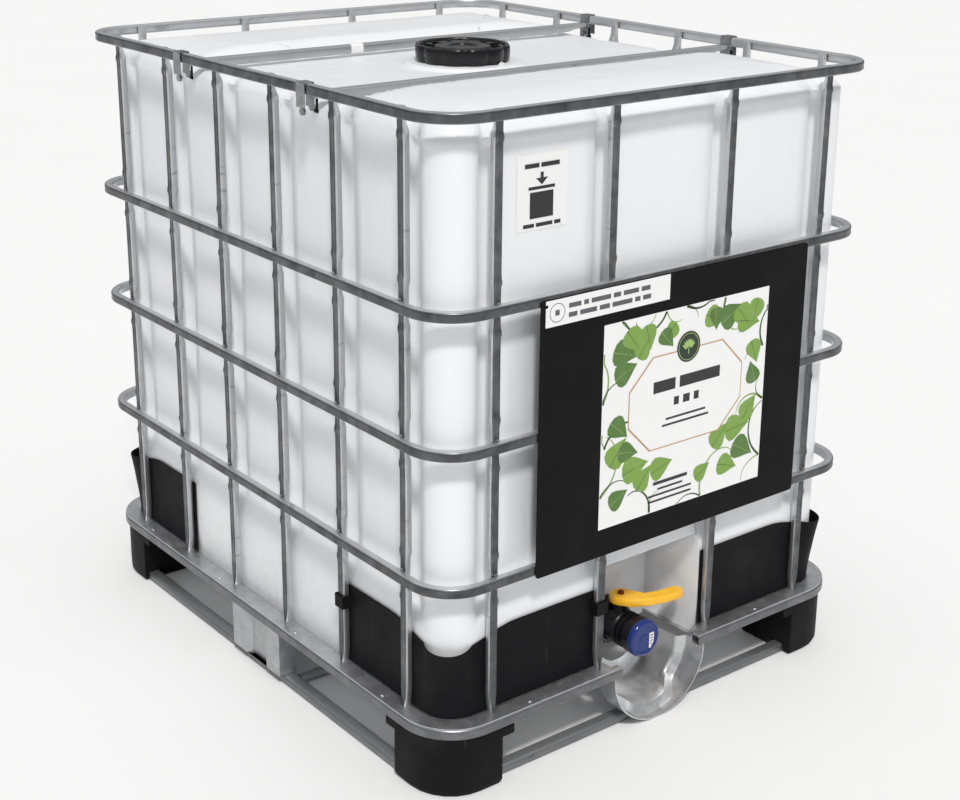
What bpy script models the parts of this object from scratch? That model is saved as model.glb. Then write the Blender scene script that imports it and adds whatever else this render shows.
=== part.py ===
"""Composite intermediate bulk container: blow-moulded bottle, welded tube cage, pressed steel pallet.

Metres, +Z up. The origin is on the floor under the middle of the container, and the outlet
valve looks along -Y. Run it with blender --background --python part.py.
"""

import math

import bmesh
import bpy
from mathutils import Matrix, Vector

# Overall sizes
WIDTH = 1.000
DEPTH = 1.200
HEIGHT = 1.160
GAP = 0.0003

# Cage tubes: DEEP is measured through the cage wall, FACE along it
TUBE_DEEP = 0.016
TUBE_FACE = 0.018
CAGE_INSET = 0.0025
CAGE_CORNER = 0.085
RING_DROPS = {"upper_ring": 0.314, "middle_ring": 0.541, "lower_ring": 0.7765}
FRONT_UPRIGHT_FROM_SIDE = 0.126
SIDE_UPRIGHT_FROM_END = 0.128
VALVE_BAY = 0.269
SIDE_UPRIGHTS = 6
TUBE_CHAMFER = 0.0035
UPRIGHT_FLAT = 0.013
UPRIGHT_BACK = 0.013
UPRIGHT_EDGE = 0.0035
UPRIGHT_TOP_DROP = 0.0025
PINCH = 0.003
PINCH_BACK = 0.0166
PINCH_NEAR = 0.018
PINCH_FAR = 0.030
FOOT_FACE = 0.0063
FOOT_TAPER = 0.030
CRIMP_HIGH = 0.022
CRIMP_TAPER = 0.018

# Crossbars over the bottle and the sheet brackets that hold them to the rim
REAR_BAR_Y = 0.195
FRONT_BAR_Y = -0.222
BAR_FACE = 0.018
BAR_HIGH = 0.0175
BAR_TOP_BELOW_RIM = 0.014
BAR_CHAMFER = 0.003
CLAMP_SHEET = 0.0017
CLAMP_WIDE = 0.026
CLAMP_LEG = 0.042

# Pallet
PALLET_CORNER = 0.100
PALLET_TUBE_DEEP = 0.020
PALLET_TUBE_LOW = 0.1120
PALLET_TUBE_HIGH = 0.0203
PALLET_CHAMFER = 0.004
DECK_SHEET = 0.002
DECK_EDGE_INSET = 0.0015
DECK_FLANGE = 0.033
DECK_SLOPE = 0.0155
DECK_BEHIND_NECK = 0.006
TUBE_GAP_AT_VALVE = 0.190
LOOP_INSET = 0.017
LOOP_END_INSET = 0.027
LOOP_FACE = 0.026
LOOP_HIGH = 0.018
LOOP_CORNER = 0.085
LOOP_CHAMFER = 0.005
CROSS_TUBE_Y = -0.0985
CROSS_TUBE_FACE = 0.022
CROSS_TUBE_HIGH = 0.016
CROSS_TUBE_LIFT = 0.001
LEG_WIDE = 0.170
LEG_SHEET = 0.003
LEG_DEEP = 0.036
LEG_INSET = 0.008
LEG_RIB_DEEP = 0.010
LEG_RIB_WIDE = 0.0765
LEG_RIB_FLOOR = 0.051
FOOT_INSET = 0.008
FOOT_SIDE = 0.132
FOOT_CORNER = 0.088
FOOT_CHAMFER = 0.005
FOOT_CHAMFER_HIGH = 0.010
FOOT_TAB = 0.025
TAB_ROOT = 0.004
TAB_THICK = 0.018
TAB_DROP = 0.004
TAB_HIGH = 0.018
FOOT_SLOT_CLEAR = 0.0006

# Sheet trough under the valve
TROUGH_RADIUS = 0.1105
TROUGH_DISH = 0.0925
TROUGH_REAR = 0.088
TROUGH_HOLE = 0.046
TROUGH_SHEET = 0.0025
TROUGH_STRIP = 0.018
TROUGH_STEP = 0.0065
TROUGH_FLOOR_STEP = 0.004
TROUGH_INSET = 0.002
TROUGH_LONG = 0.120
TROUGH_CLEAR = 0.0015

# Corner protectors
PROTECTOR_SHEET = 0.003
PROTECTOR_TOP = 0.284
PROTECTOR_LEVELS = [(0.000, 0.00), (0.065, 0.35), (0.127, 0.85)]
PROTECTOR_FLARE = 0.018
PROTECTOR_CORNER = 0.060
PROTECTOR_PAST_UPRIGHT = 0.013
PROTECTOR_PAST_VALVE_SIDE = 0.010
BOTTLE_WALL_ABOVE_PROTECTOR = 0.006
HOOK_LOW = 0.243
HOOK_HIGH = 0.262
HOOK_WALL = 0.003
HOOK_ROOT = 0.001

# Bottle
WALL = 0.0035
BOTTLE_CLEAR = 0.002
PROTECTOR_CLEAR = 0.0019
GROOVE_HALF = 0.0125
GROOVE_RUN = 0.0115
GROOVE_CLEAR = 0.0015
CORNER_LEAST = 0.030
FOOT_LEVELS = [(0.000, 0.055), (0.006, 0.040), (0.026, 0.030)]
FOOT_TO_WALL = 0.064
SHOULDER_HIGH = 0.110
SHOULDER_LEVELS = [(0.000, 0.000, 1.0), (0.045, 0.010, 1.0), (0.080, 0.034, 0.4), (0.100, 0.075, 0.0)]
CREST_INSET = 0.150
CREST_BELOW_RIM = 0.008
SADDLE_BELOW_RIM = 0.0375
SADDLE_MARGIN = 0.024
SADDLE_SLOPE = 0.060
NECK_RADIUS = 0.078
NECK_WALL = 0.006
NECK_ROOT = 0.002
RECESS_HALF = 0.122
RECESS_FRONT_HIGH = 0.330
RECESS_BACK_HIGH = 0.235
RECESS_DEEP = 0.1495

# Lid
LID_RADIUS = 0.092
LID_HIGH = 0.036
LID_SHEET = 0.005
LID_THREAD_CLEAR = 0.0015
LID_EDGE = 0.004
LID_RECESS = 0.002
SEAL_THICK = 0.0042
SEAL_MARGIN = 0.0005
TAG_RADIUS = 0.0095
TAG_THICK = 0.003
TAG_TURN = -76.5

# Valve
VALVE_Z = 0.140
VALVE_BORE = 0.0215
BOSS_RADIUS = 0.0333
BOSS_LONG = 0.022
VALVE_SEAL_THICK = 0.0027
VALVE_SEAL_MARGIN = 0.001
VALVE_SEAL_RADIUS = 0.0300
NUT_RADIUS = 0.0430
NUT_WALL_CLEAR = 0.0005
NUT_BEHIND = 0.008
NUT_LONG = 0.0105
NUT_CHAMFER = 0.002
VALVE_BODY_RADIUS = 0.0335
FLANGE_LONG = 0.0067
WAIST_RADIUS = 0.0300
WAIST_LONG = 0.0115
STEM_FROM_FLANGE = 0.0317
BULB_HALF = 0.0135
NOZZLE_RADIUS = 0.0285
NOZZLE_STEP = 0.0065
NOZZLE_END_FROM_FLANGE = 0.0927
COLLAR_RADIUS = 0.0145
COLLAR_ROOT = 0.025
STEM_RADIUS = 0.006
STEM_CLEAR = 0.0004
PIN_SOCKET = 0.0070
PIN_END_CLEAR = 0.0005
DISC_CLEAR = 0.0007
DISC_THICK = 0.004
DISC_EDGE = 0.0015
HANDLE_LOW = 0.050
HANDLE_THICK = 0.015
HANDLE_EDGE = 0.0015
HUB_HALF = 0.0215
ARM_SPINE = [(0, 0), (0.010, -0.019), (0.030, -0.037), (0.060, -0.0455), (0.094, -0.0495)]
ARM_HALVES = [HUB_HALF, 0.0200, 0.0135, 0.0120, 0.0125]
STEM_SHORT_OF_HANDLE = 0.005
SCREW_HEAD_RADIUS = 0.0095
SCREW_HEAD_HIGH = 0.0040
SCREW_SHANK_RADIUS = 0.0045
CAP_RADIUS = 0.037
CAP_THREAD_CLEAR = 0.0015
CAP_SEAL_THICK = 0.0032
CAP_SEAL_CLEAR = 0.001
CAP_SKIRT = 0.0190
CAP_FACE = 0.0045
CAP_CHAMFER = 0.002

# Label plate riveted over the rings
PLATE_LEFT = -0.302
PLATE_RIGHT = 0.323
PLATE_THICK = 0.0017
PLATE_ABOVE_RING = 0.002
PLATE_BELOW_RING = 0.014

# Worked out from the sizes above
HALF_X = WIDTH / 2
HALF_Y = DEPTH / 2
RIM_TOP = HEIGHT - CLAMP_SHEET - GAP
CAGE_X = HALF_X - CAGE_INSET
CAGE_Y = HALF_Y - CAGE_INSET
UPRIGHT_X = CAGE_X - TUBE_DEEP - GAP
UPRIGHT_Y = CAGE_Y - TUBE_DEEP - GAP
PALLET_TUBE_TOP = PALLET_TUBE_LOW + PALLET_TUBE_HIGH
DECK_TOP = PALLET_TUBE_TOP + GAP + DECK_SHEET
DECK_FLOOR = PALLET_TUBE_LOW + DECK_SHEET
UPRIGHT_BOTTOM = DECK_TOP + GAP
PROTECTOR_X = UPRIGHT_X - TUBE_DEEP - GAP
PROTECTOR_Y = UPRIGHT_Y - TUBE_DEEP - GAP
BOTTLE_X = CAGE_X - TUBE_DEEP - BOTTLE_CLEAR
BOTTLE_Y = CAGE_Y - TUBE_DEEP - BOTTLE_CLEAR
BOTTLE_CORNER = CAGE_CORNER - TUBE_DEEP - BOTTLE_CLEAR / 2
BOTTLE_FOOT_INSET = BOTTLE_X - PROTECTOR_X + PROTECTOR_SHEET + PROTECTOR_CLEAR
BOTTLE_BOTTOM = DECK_FLOOR + GAP
BOTTLE_CREST = RIM_TOP - CREST_BELOW_RIM
SADDLE = RIM_TOP - SADDLE_BELOW_RIM
LID_TOP = HEIGHT - LID_RECESS
LID_BOTTOM = LID_TOP - LID_HIGH
NECK_BORE = NECK_RADIUS - NECK_WALL
NECK_TOP = LID_TOP - LID_SHEET - SEAL_THICK - 2 * GAP
BAR_TOP = RIM_TOP - BAR_TOP_BELOW_RIM
RECESS_BACK = -BOTTLE_Y + RECESS_DEEP
BOSS_END = RECESS_BACK - BOSS_LONG
VALVE_SEAL_END = BOSS_END - GAP - VALVE_SEAL_THICK
VALVE_START = VALVE_SEAL_END - GAP
STEM_Y = VALVE_START - STEM_FROM_FLANGE
NOZZLE_END = VALVE_START - NOZZLE_END_FROM_FLANGE

FRONT_XS = [
    -HALF_X + FRONT_UPRIGHT_FROM_SIDE,
    -VALVE_BAY / 2,
    VALVE_BAY / 2,
    HALF_X - FRONT_UPRIGHT_FROM_SIDE,
]
SIDE_END = HALF_Y - SIDE_UPRIGHT_FROM_END
SIDE_YS = [SIDE_END - i * 2 * SIDE_END / (SIDE_UPRIGHTS - 1) for i in range(SIDE_UPRIGHTS)]
RING_ZS = {name: RIM_TOP - drop for name, drop in RING_DROPS.items()}


# ---------------------------------------------------------------- scene and materials


def clear_scene():
    for old in list(bpy.data.objects):
        bpy.data.objects.remove(old, do_unlink=True)


def make_material(name, colour, roughness, metallic=0.0, alpha=1.0):
    material = bpy.data.materials.new(name)
    material.use_nodes = True
    shader = material.node_tree.nodes["Principled BSDF"]
    shader.inputs["Base Color"].default_value = (*colour, 1.0)
    shader.inputs["Roughness"].default_value = roughness
    shader.inputs["Metallic"].default_value = metallic
    shader.inputs["Alpha"].default_value = alpha
    material.diffuse_color = (*colour, alpha)
    return material


clear_scene()
HDPE = make_material("white_hdpe", (0.87, 0.88, 0.89), 0.38)
STEEL = make_material("galvanised_steel", (0.42, 0.43, 0.44), 0.38, 1.0)
SHEET = make_material("galvanised_sheet", (0.52, 0.54, 0.56), 0.35, 1.0)
BLACK = make_material("black_plastic", (0.018, 0.018, 0.022), 0.55)
GLOSS_BLACK = make_material("black_lid", (0.012, 0.012, 0.013), 0.25)
YELLOW = make_material("yellow_plastic", (1.0, 0.52, 0.02), 0.42)
BLUE = make_material("blue_plastic", (0.010, 0.045, 0.22), 0.35)
RUBBER = make_material("grey_rubber", (0.10, 0.10, 0.10), 0.80)
WHITE = make_material("white_plastic", (0.85, 0.85, 0.83), 0.45)


# ---------------------------------------------------------------- building tools


def new_object(name, mesh, material):
    obj = bpy.data.objects.new(name, mesh)
    bpy.context.scene.collection.objects.link(obj)
    if material:
        mesh.materials.append(material)
    return obj


def finish(name, bm, material, smooth=None):
    """Turns a bmesh into an object; smooth is the angle under which edges are shaded smooth."""
    bmesh.ops.recalc_face_normals(bm, faces=bm.faces)
    if smooth:
        for face in bm.faces:
            face.smooth = True
        for edge in bm.edges:
            edge.smooth = len(edge.link_faces) == 2 and edge.calc_face_angle() < math.radians(smooth)
    mesh = bpy.data.meshes.new(name)
    bm.to_mesh(mesh)
    bm.free()
    return new_object(name, mesh, material)


def as_cutter(obj):
    obj.hide_render = True
    obj.display_type = "WIRE"
    return obj


def boolean(obj, other, operation):
    modifier = obj.modifiers.new(f"{operation.lower()}_{other.name}", "BOOLEAN")
    modifier.operation = operation
    modifier.object = as_cutter(other)


def skin(loops, closed=False):
    """A solid through loops of equal length; closed joins the last loop to the first."""
    bm = bmesh.new()
    rows = [[bm.verts.new(point) for point in loop] for loop in loops]
    count = len(rows[0])
    pairs = list(zip(rows, rows[1:]))
    if closed:
        pairs.append((rows[-1], rows[0]))
    for low, high in pairs:
        for i in range(count):
            j = (i + 1) % count
            bm.faces.new((low[i], low[j], high[j], high[i]))
    if not closed:
        bm.faces.new(rows[0])
        bm.faces.new(reversed(rows[-1]))
    return bm


def box(name, low, high, material=None):
    """Block between two opposite corners."""
    bm = bmesh.new()
    bmesh.ops.create_cube(bm, size=1.0)
    centre = (Vector(low) + Vector(high)) / 2
    size = Vector(high) - Vector(low)
    bmesh.ops.transform(bm, matrix=Matrix.Translation(centre) @ Matrix.Diagonal((*size, 1)), verts=bm.verts)
    return finish(name, bm, material)


def prism(name, outline, low, high, axis, material=None):
    """Extrudes a flat outline: axis Z takes (x, y) points, axis X takes (y, z) points."""
    bm = bmesh.new()
    if axis == "Z":
        verts = [bm.verts.new((a, b, low)) for a, b in outline]
        step = Vector((0, 0, high - low))
    else:
        verts = [bm.verts.new((low, a, b)) for a, b in outline]
        step = Vector((high - low, 0, 0))
    face = bm.faces.new(verts)
    grown = bmesh.ops.extrude_face_region(bm, geom=[face], use_keep_orig=True)
    moved = [item for item in grown["geom"] if isinstance(item, bmesh.types.BMVert)]
    bmesh.ops.translate(bm, vec=step, verts=moved)
    return finish(name, bm, material)


def rounded_corner(centre, radius, start, steps):
    """Points of a quarter turn about centre, beginning at the angle start in degrees."""
    angles = [math.radians(start + 90 * i / steps) for i in range(steps + 1)]
    return [(centre[0] + radius * math.cos(a), centre[1] + radius * math.sin(a)) for a in angles]


def rounded_rectangle(half_x, half_y, radius, steps=6):
    """Anticlockwise outline, beginning at the low x end of the -Y side."""
    points = []
    for sign_x, sign_y, start in ((1, -1, -90), (1, 1, 0), (-1, 1, 90), (-1, -1, 180)):
        centre = (sign_x * (half_x - radius), sign_y * (half_y - radius))
        points += rounded_corner(centre, radius, start, steps)
    return points


def tube_profile(deep, high, chamfer):
    """Chamfered rectangle as (inset from the outer face, height from the tube's bottom)."""
    return [
        (0, chamfer),
        (chamfer, 0),
        (deep - chamfer, 0),
        (deep, chamfer),
        (deep, high - chamfer),
        (deep - chamfer, high),
        (chamfer, high),
        (0, high - chamfer),
    ]


def ring_loops(half_x, half_y, radius, profile, bottom, steps=6):
    """One loop of points around the rounded rectangle for each point of the profile."""
    loops = []
    for inset, height in profile:
        outline = rounded_rectangle(half_x - inset, half_y - inset, radius - inset, steps)
        loops.append([Vector((x, y, bottom + height)) for x, y in outline])
    return loops


def closed_ring(name, half_x, half_y, radius, profile, bottom, material, steps=6):
    loops = ring_loops(half_x, half_y, radius, profile, bottom, steps)
    return finish(name, skin(loops, closed=True), material, smooth=40)


def revolve(name, profile, centre, axis, material, steps=28):
    """Spins (radius, along) points once around the axis through centre; all radii are above 0."""
    bm = bmesh.new()
    direction = Vector((0, 1, 0)) if axis == "Y" else Vector((0, 0, 1))
    out = Vector((1, 0, 0))
    origin = Vector(centre)
    start = [bm.verts.new(origin + out * radius + direction * along) for radius, along in profile]
    edges = [bm.edges.new((a, b)) for a, b in zip(start, start[1:] + start[:1])]
    bmesh.ops.spin(
        bm, geom=start + edges, cent=origin, axis=direction, angle=2 * math.pi, steps=steps, use_merge=True
    )
    return finish(name, bm, material, smooth=40)


def disc_solid(name, profile, centre, axis, material=None, steps=28):
    """Stack of circles given as (radius, along), closed by flat ends."""
    loops = []
    for radius, along in profile:
        loop = []
        for i in range(steps):
            a = 2 * math.pi * i / steps
            across = (radius * math.cos(a), radius * math.sin(a))
            if axis == "Z":
                local = Vector((across[0], across[1], along))
            else:
                local = Vector((across[0], along, across[1]))
            loop.append(Vector(centre) + local)
        loops.append(loop)
    return finish(name, skin(loops), material, smooth=40)


def set_origin(obj, point):
    """Moves the object's origin to point and leaves its shape where it is."""
    obj.data.transform(Matrix.Translation(-Vector(point)))
    obj.location = point
    return obj


# ---------------------------------------------------------------- cage


def upright_section(half, back, deep):
    """Six points of an upright's section as (run along the wall, inset from its outer face)."""
    return [
        (-half, UPRIGHT_EDGE),
        (-half * UPRIGHT_FLAT / TUBE_FACE, 0),
        (half * UPRIGHT_FLAT / TUBE_FACE, 0),
        (half, UPRIGHT_EDGE),
        (back, deep),
        (-back, deep),
    ]


def upright_loops(along, side, outward, low, high, ring_middles):
    """Sections of one upright: pinched beside every ring, crimped at the top, pointed at the foot."""
    full = upright_section(TUBE_FACE / 2, UPRIGHT_BACK / 2, TUBE_DEEP)
    pinched = upright_section(TUBE_FACE / 2, PINCH_BACK / 2, TUBE_DEEP - PINCH)
    foot = upright_section(FOOT_FACE / 2, FOOT_FACE / 2, TUBE_DEEP)
    stations = [(low, foot), (low + FOOT_TAPER, full)]
    for middle in sorted(ring_middles):
        stations += [(middle - PINCH_FAR, full), (middle - PINCH_NEAR, pinched)]
        stations += [(middle + PINCH_NEAR, pinched), (middle + PINCH_FAR, full)]
    stations += [(high - CRIMP_HIGH - CRIMP_TAPER, full), (high - CRIMP_HIGH, pinched), (high, pinched)]
    loops = []
    for z, section in stations:
        loop = []
        for run, inset in section:
            if outward[0]:
                loop.append(Vector((outward[0] * (side - inset), along + outward[0] * run, z)))
            else:
                loop.append(Vector((along + run, outward[1] * (side - inset), z)))
        loops.append(loop)
    return loops


def build_cage():
    profile = tube_profile(TUBE_DEEP, TUBE_FACE, TUBE_CHAMFER)
    closed_ring("top_rim", CAGE_X, CAGE_Y, CAGE_CORNER, profile, RIM_TOP - TUBE_FACE, STEEL)
    for name, middle in RING_ZS.items():
        closed_ring(name, CAGE_X, CAGE_Y, CAGE_CORNER, profile, middle - TUBE_FACE / 2, STEEL)
    sides = (
        ("front", FRONT_XS, UPRIGHT_Y, (0, -1)),
        ("rear", FRONT_XS, UPRIGHT_Y, (0, 1)),
        ("left", SIDE_YS, UPRIGHT_X, (-1, 0)),
        ("right", SIDE_YS, UPRIGHT_X, (1, 0)),
    )
    top = RIM_TOP - UPRIGHT_TOP_DROP
    for side_name, places, side, outward in sides:
        for i, along in enumerate(places, 1):
            loops = upright_loops(along, side, outward, UPRIGHT_BOTTOM, top, RING_ZS.values())
            finish(f"upright_{side_name}_{i}", skin(loops), STEEL, smooth=30)


def tube_outline(y, bottom, face, high, chamfer):
    """Section of a tube that runs along X, as (y, z) points."""
    return [(y - face / 2 + inset, bottom + height) for inset, height in tube_profile(face, high, chamfer)]


def build_crossbars():
    reach = CAGE_X - TUBE_DEEP - GAP - CLAMP_SHEET - GAP
    for name, y in (("rear", REAR_BAR_Y), ("front", FRONT_BAR_Y)):
        outline = tube_outline(y, BAR_TOP - BAR_HIGH, BAR_FACE, BAR_HIGH, BAR_CHAMFER)
        prism(f"crossbar_{name}", outline, -reach, reach, "X", STEEL)
        for side_name, sign in (("left", -1), ("right", 1)):
            build_clamp(f"clamp_{name}_{side_name}", y, sign)


def build_clamp(name, y, sign):
    """Sheet bracket folded over the rim, seen from the end of the bar."""
    outer = CAGE_X + GAP + CLAMP_SHEET
    inner = CAGE_X - TUBE_DEEP - GAP - CLAMP_SHEET
    top = RIM_TOP + GAP + CLAMP_SHEET
    foot = top - CLAMP_LEG
    outline = [
        (outer, foot),
        (outer, top),
        (inner, top),
        (inner, foot),
        (inner + CLAMP_SHEET, foot),
        (inner + CLAMP_SHEET, top - CLAMP_SHEET),
        (outer - CLAMP_SHEET, top - CLAMP_SHEET),
        (outer - CLAMP_SHEET, foot),
    ]
    ends = (y - CLAMP_WIDE / 2, y + CLAMP_WIDE / 2)
    loops = [[Vector((sign * x, end, z)) for x, z in outline] for end in ends]
    finish(name, skin(loops), STEEL)


def build_label_plate():
    low = RING_ZS["lower_ring"] - PLATE_BELOW_RING
    high = RING_ZS["upper_ring"] + PLATE_ABOVE_RING
    front = -CAGE_Y - GAP
    box("label_plate", (PLATE_LEFT, front - PLATE_THICK, low), (PLATE_RIGHT, front, high), BLACK)


# ---------------------------------------------------------------- pallet


def build_pallet_tube():
    """The lowest cage tube, cut away in front of the valve."""
    profile = tube_profile(PALLET_TUBE_DEEP, PALLET_TUBE_HIGH, PALLET_CHAMFER)
    gap = TUBE_GAP_AT_VALVE / 2
    loops = ring_loops(HALF_X, HALF_Y, PALLET_CORNER, profile, PALLET_TUBE_LOW)
    stations = [list(station) for station in zip(*loops)]
    ends = []
    for x in (gap, -gap):
        ends.append([Vector((x, -HALF_Y + inset, PALLET_TUBE_LOW + height)) for inset, height in profile])
    finish("pallet_tube", skin([ends[0], *stations, ends[1]]), STEEL, smooth=40)


def build_deck():
    """Pressed sheet pan: flange on the tube, sloping wall, flat floor, cut away at the valve."""
    underside = PALLET_TUBE_TOP + GAP
    profile = [
        (DECK_FLANGE + DECK_SLOPE - DECK_SHEET / 2, PALLET_TUBE_LOW),
        (DECK_FLANGE - DECK_SHEET / 2, underside),
        (DECK_EDGE_INSET, underside),
        (DECK_EDGE_INSET, DECK_TOP),
        (DECK_FLANGE, DECK_TOP),
        (DECK_FLANGE + DECK_SLOPE, DECK_FLOOR),
    ]
    loops = ring_loops(HALF_X, HALF_Y, PALLET_CORNER, profile, 0)
    deck = finish("deck_pan", skin(loops), SHEET, smooth=40)
    half = TROUGH_RADIUS + TROUGH_CLEAR
    reach = RECESS_BACK + DECK_BEHIND_NECK
    cutter = box("deck_notch", (-half, -DEPTH, 0), (half, reach, HEIGHT))
    boolean(deck, cutter, "DIFFERENCE")


def build_base_loop():
    profile = tube_profile(LOOP_FACE, LOOP_HIGH, LOOP_CHAMFER)
    half_x = HALF_X - LOOP_INSET
    closed_ring("base_loop", half_x, HALF_Y - LOOP_END_INSET, LOOP_CORNER, profile, 0, STEEL)
    reach = half_x - LOOP_FACE - GAP
    outline = tube_outline(CROSS_TUBE_Y, CROSS_TUBE_LIFT, CROSS_TUBE_FACE, CROSS_TUBE_HIGH, LOOP_CHAMFER)
    prism("base_cross_tube", outline, -reach, reach, "X", STEEL)


def leg_outline():
    """Folded sheet with a rib pressed in its middle, as (run along the side, inset from it)."""
    half = LEG_WIDE / 2
    rib = LEG_RIB_WIDE / 2
    floor = LEG_RIB_FLOOR / 2
    sheet = LEG_SHEET
    outer = [(half, LEG_DEEP), (half, 0), (rib, 0), (floor, LEG_RIB_DEEP)]
    inner = [
        (floor - sheet, LEG_RIB_DEEP + sheet),
        (rib - sheet, sheet),
        (half - sheet, sheet),
        (half - sheet, LEG_DEEP),
    ]
    outer_side = [(-run, inset) for run, inset in outer] + outer[::-1]
    inner_side = inner[::-1] + [(-run, inset) for run, inset in inner]
    return outer_side + inner_side


def build_legs():
    """Sheet legs in the middle of three sides, standing on the loop."""
    low = LOOP_HIGH + GAP
    high = PALLET_TUBE_LOW - GAP
    outline = leg_outline()
    left = [(-HALF_X + LEG_INSET + inset, run) for run, inset in outline]
    right = [(HALF_X - LEG_INSET - inset, run) for run, inset in outline]
    rear = [(run, HALF_Y - LEG_INSET - inset) for run, inset in outline]
    prism("side_leg_left", left, low, high, "Z", SHEET)
    prism("side_leg_right", right, low, high, "Z", SHEET)
    prism("rear_leg", rear, low, high, "Z", SHEET)


def loop_slot():
    """The base loop a little enlarged, cut out of the feet that stand over it."""
    extra = FOOT_SLOT_CLEAR
    profile = [
        (-extra, -LOOP_HIGH),
        (LOOP_FACE + extra, -LOOP_HIGH),
        (LOOP_FACE + extra, LOOP_HIGH + extra),
        (-extra, LOOP_HIGH + extra),
    ]
    return closed_ring("loop_slot", HALF_X - LOOP_INSET, HALF_Y - LOOP_END_INSET, LOOP_CORNER, profile, 0, None)


def build_feet():
    slot = loop_slot()
    for end_name, sign_y in (("front", -1), ("rear", 1)):
        for side_name, sign_x in (("left", -1), ("right", 1)):
            build_foot(f"foot_{end_name}_{side_name}", sign_x, sign_y, slot)


def build_foot(name, sign_x, sign_y, slot):
    """Block with a round outer corner, two side tabs under the tube and a slot for the loop."""
    top = PALLET_TUBE_LOW - GAP
    out_x = HALF_X - FOOT_INSET
    out_y = HALF_Y - FOOT_INSET
    in_x = out_x - FOOT_SIDE
    in_y = out_y - FOOT_SIDE
    centre = (out_x - FOOT_CORNER, out_y - FOOT_CORNER)
    loops = []
    for inset, z in ((FOOT_CHAMFER, 0), (0, FOOT_CHAMFER_HIGH), (0, top)):
        outline = [(in_x + inset, in_y + inset), (out_x - inset, in_y + inset)]
        outline += rounded_corner(centre, FOOT_CORNER - inset, 0, 6)
        outline += [(in_x + inset, out_y - inset)]
        loops.append([Vector((sign_x * x, sign_y * y, z)) for x, y in outline])
    foot = finish(name, skin(loops), BLACK, smooth=35)
    tabs = (
        ((in_x - FOOT_TAB, out_y - TAB_THICK), (in_x + TAB_ROOT, out_y)),
        ((out_x - TAB_THICK, in_y - FOOT_TAB), (out_x, in_y + TAB_ROOT)),
    )
    for i, (near, far) in enumerate(tabs):
        xs = sorted((sign_x * near[0], sign_x * far[0]))
        ys = sorted((sign_y * near[1], sign_y * far[1]))
        tab_top = top - TAB_DROP
        tab = box(f"{name}_tab_{i}", (xs[0], ys[0], tab_top - TAB_HIGH), (xs[1], ys[1], tab_top))
        boolean(foot, tab, "UNION")
    boolean(foot, slot, "DIFFERENCE")


def build_trough():
    """Half-round sheet trough under the valve; its front strip is the pallet's front leg."""
    axis_z = PALLET_TUBE_LOW - GAP
    front = -HALF_Y + TROUGH_INSET
    rear = front + TROUGH_LONG
    bend = front + TROUGH_STRIP
    sheet = TROUGH_SHEET
    profile = [
        (TROUGH_RADIUS, front),
        (TROUGH_RADIUS, bend),
        (TROUGH_DISH, bend + TROUGH_STEP),
        (TROUGH_REAR, rear - TROUGH_FLOOR_STEP),
        (TROUGH_HOLE, rear),
        (TROUGH_HOLE, rear - sheet),
        (TROUGH_REAR - sheet, rear - TROUGH_FLOOR_STEP - sheet),
        (TROUGH_DISH - sheet, bend + TROUGH_STEP - sheet / 2),
        (TROUGH_RADIUS - sheet, bend - sheet / 2),
        (TROUGH_RADIUS - sheet, front),
    ]
    steps = 20
    loops = []
    for i in range(steps + 1):
        a = math.pi + math.pi * i / steps
        loops.append([Vector((r * math.cos(a), y, axis_z + r * math.sin(a))) for r, y in profile])
    finish("valve_trough", skin(loops), SHEET, smooth=30)


# ---------------------------------------------------------------- corner protectors


def protector_outline(sign_x, sign_y, inset, flare):
    """Open path around one corner, from behind the side upright to the valve bay."""
    x = PROTECTOR_X - inset
    y = PROTECTOR_Y - inset
    radius = PROTECTOR_CORNER - inset
    side_end = SIDE_YS[1] - PROTECTOR_PAST_UPRIGHT
    front_end = FRONT_XS[2] - PROTECTOR_PAST_VALVE_SIDE
    steps = 10
    points = [(x, side_end), (x, side_end + 2 * PROTECTOR_PAST_UPRIGHT)]
    for i in range(steps + 1):
        a = math.pi / 2 * i / steps
        reach = radius + flare * math.sin(2 * a)
        points.append((x - radius + reach * math.cos(a), y - radius + reach * math.sin(a)))
    points += [(FRONT_XS[2] + PROTECTOR_PAST_UPRIGHT, y), (front_end, y)]
    return [(sign_x * px, sign_y * py) for px, py in points]


def build_protectors():
    levels = [(UPRIGHT_BOTTOM + height, share) for height, share in PROTECTOR_LEVELS]
    levels.append((PROTECTOR_TOP, 1.0))
    for end_name, sign_y in (("front", -1), ("rear", 1)):
        for side_name, sign_x in (("left", -1), ("right", 1)):
            name = f"corner_protector_{end_name}_{side_name}"
            loops = []
            for z, share in levels:
                flare = PROTECTOR_FLARE * share
                outer = protector_outline(sign_x, sign_y, 0, flare)
                inner = protector_outline(sign_x, sign_y, PROTECTOR_SHEET, flare)
                loops.append([Vector((x, y, z)) for x, y in outer + inner[::-1]])
            shell = finish(name, skin(loops), BLACK, smooth=40)
            end_hook = hook_outline(PROTECTOR_Y, UPRIGHT_Y)
            side_hook = hook_outline(PROTECTOR_X, UPRIGHT_X)
            outlines = (
                [(sign_x * (FRONT_XS[2] + run), sign_y * out) for run, out in end_hook],
                [(sign_x * out, sign_y * (SIDE_YS[1] + run)) for run, out in side_hook],
            )
            for i, outline in enumerate(outlines):
                clip = prism(f"{name}_hook_{i}", outline, HOOK_LOW, HOOK_HIGH, "Z")
                boolean(shell, clip, "UNION")


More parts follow.
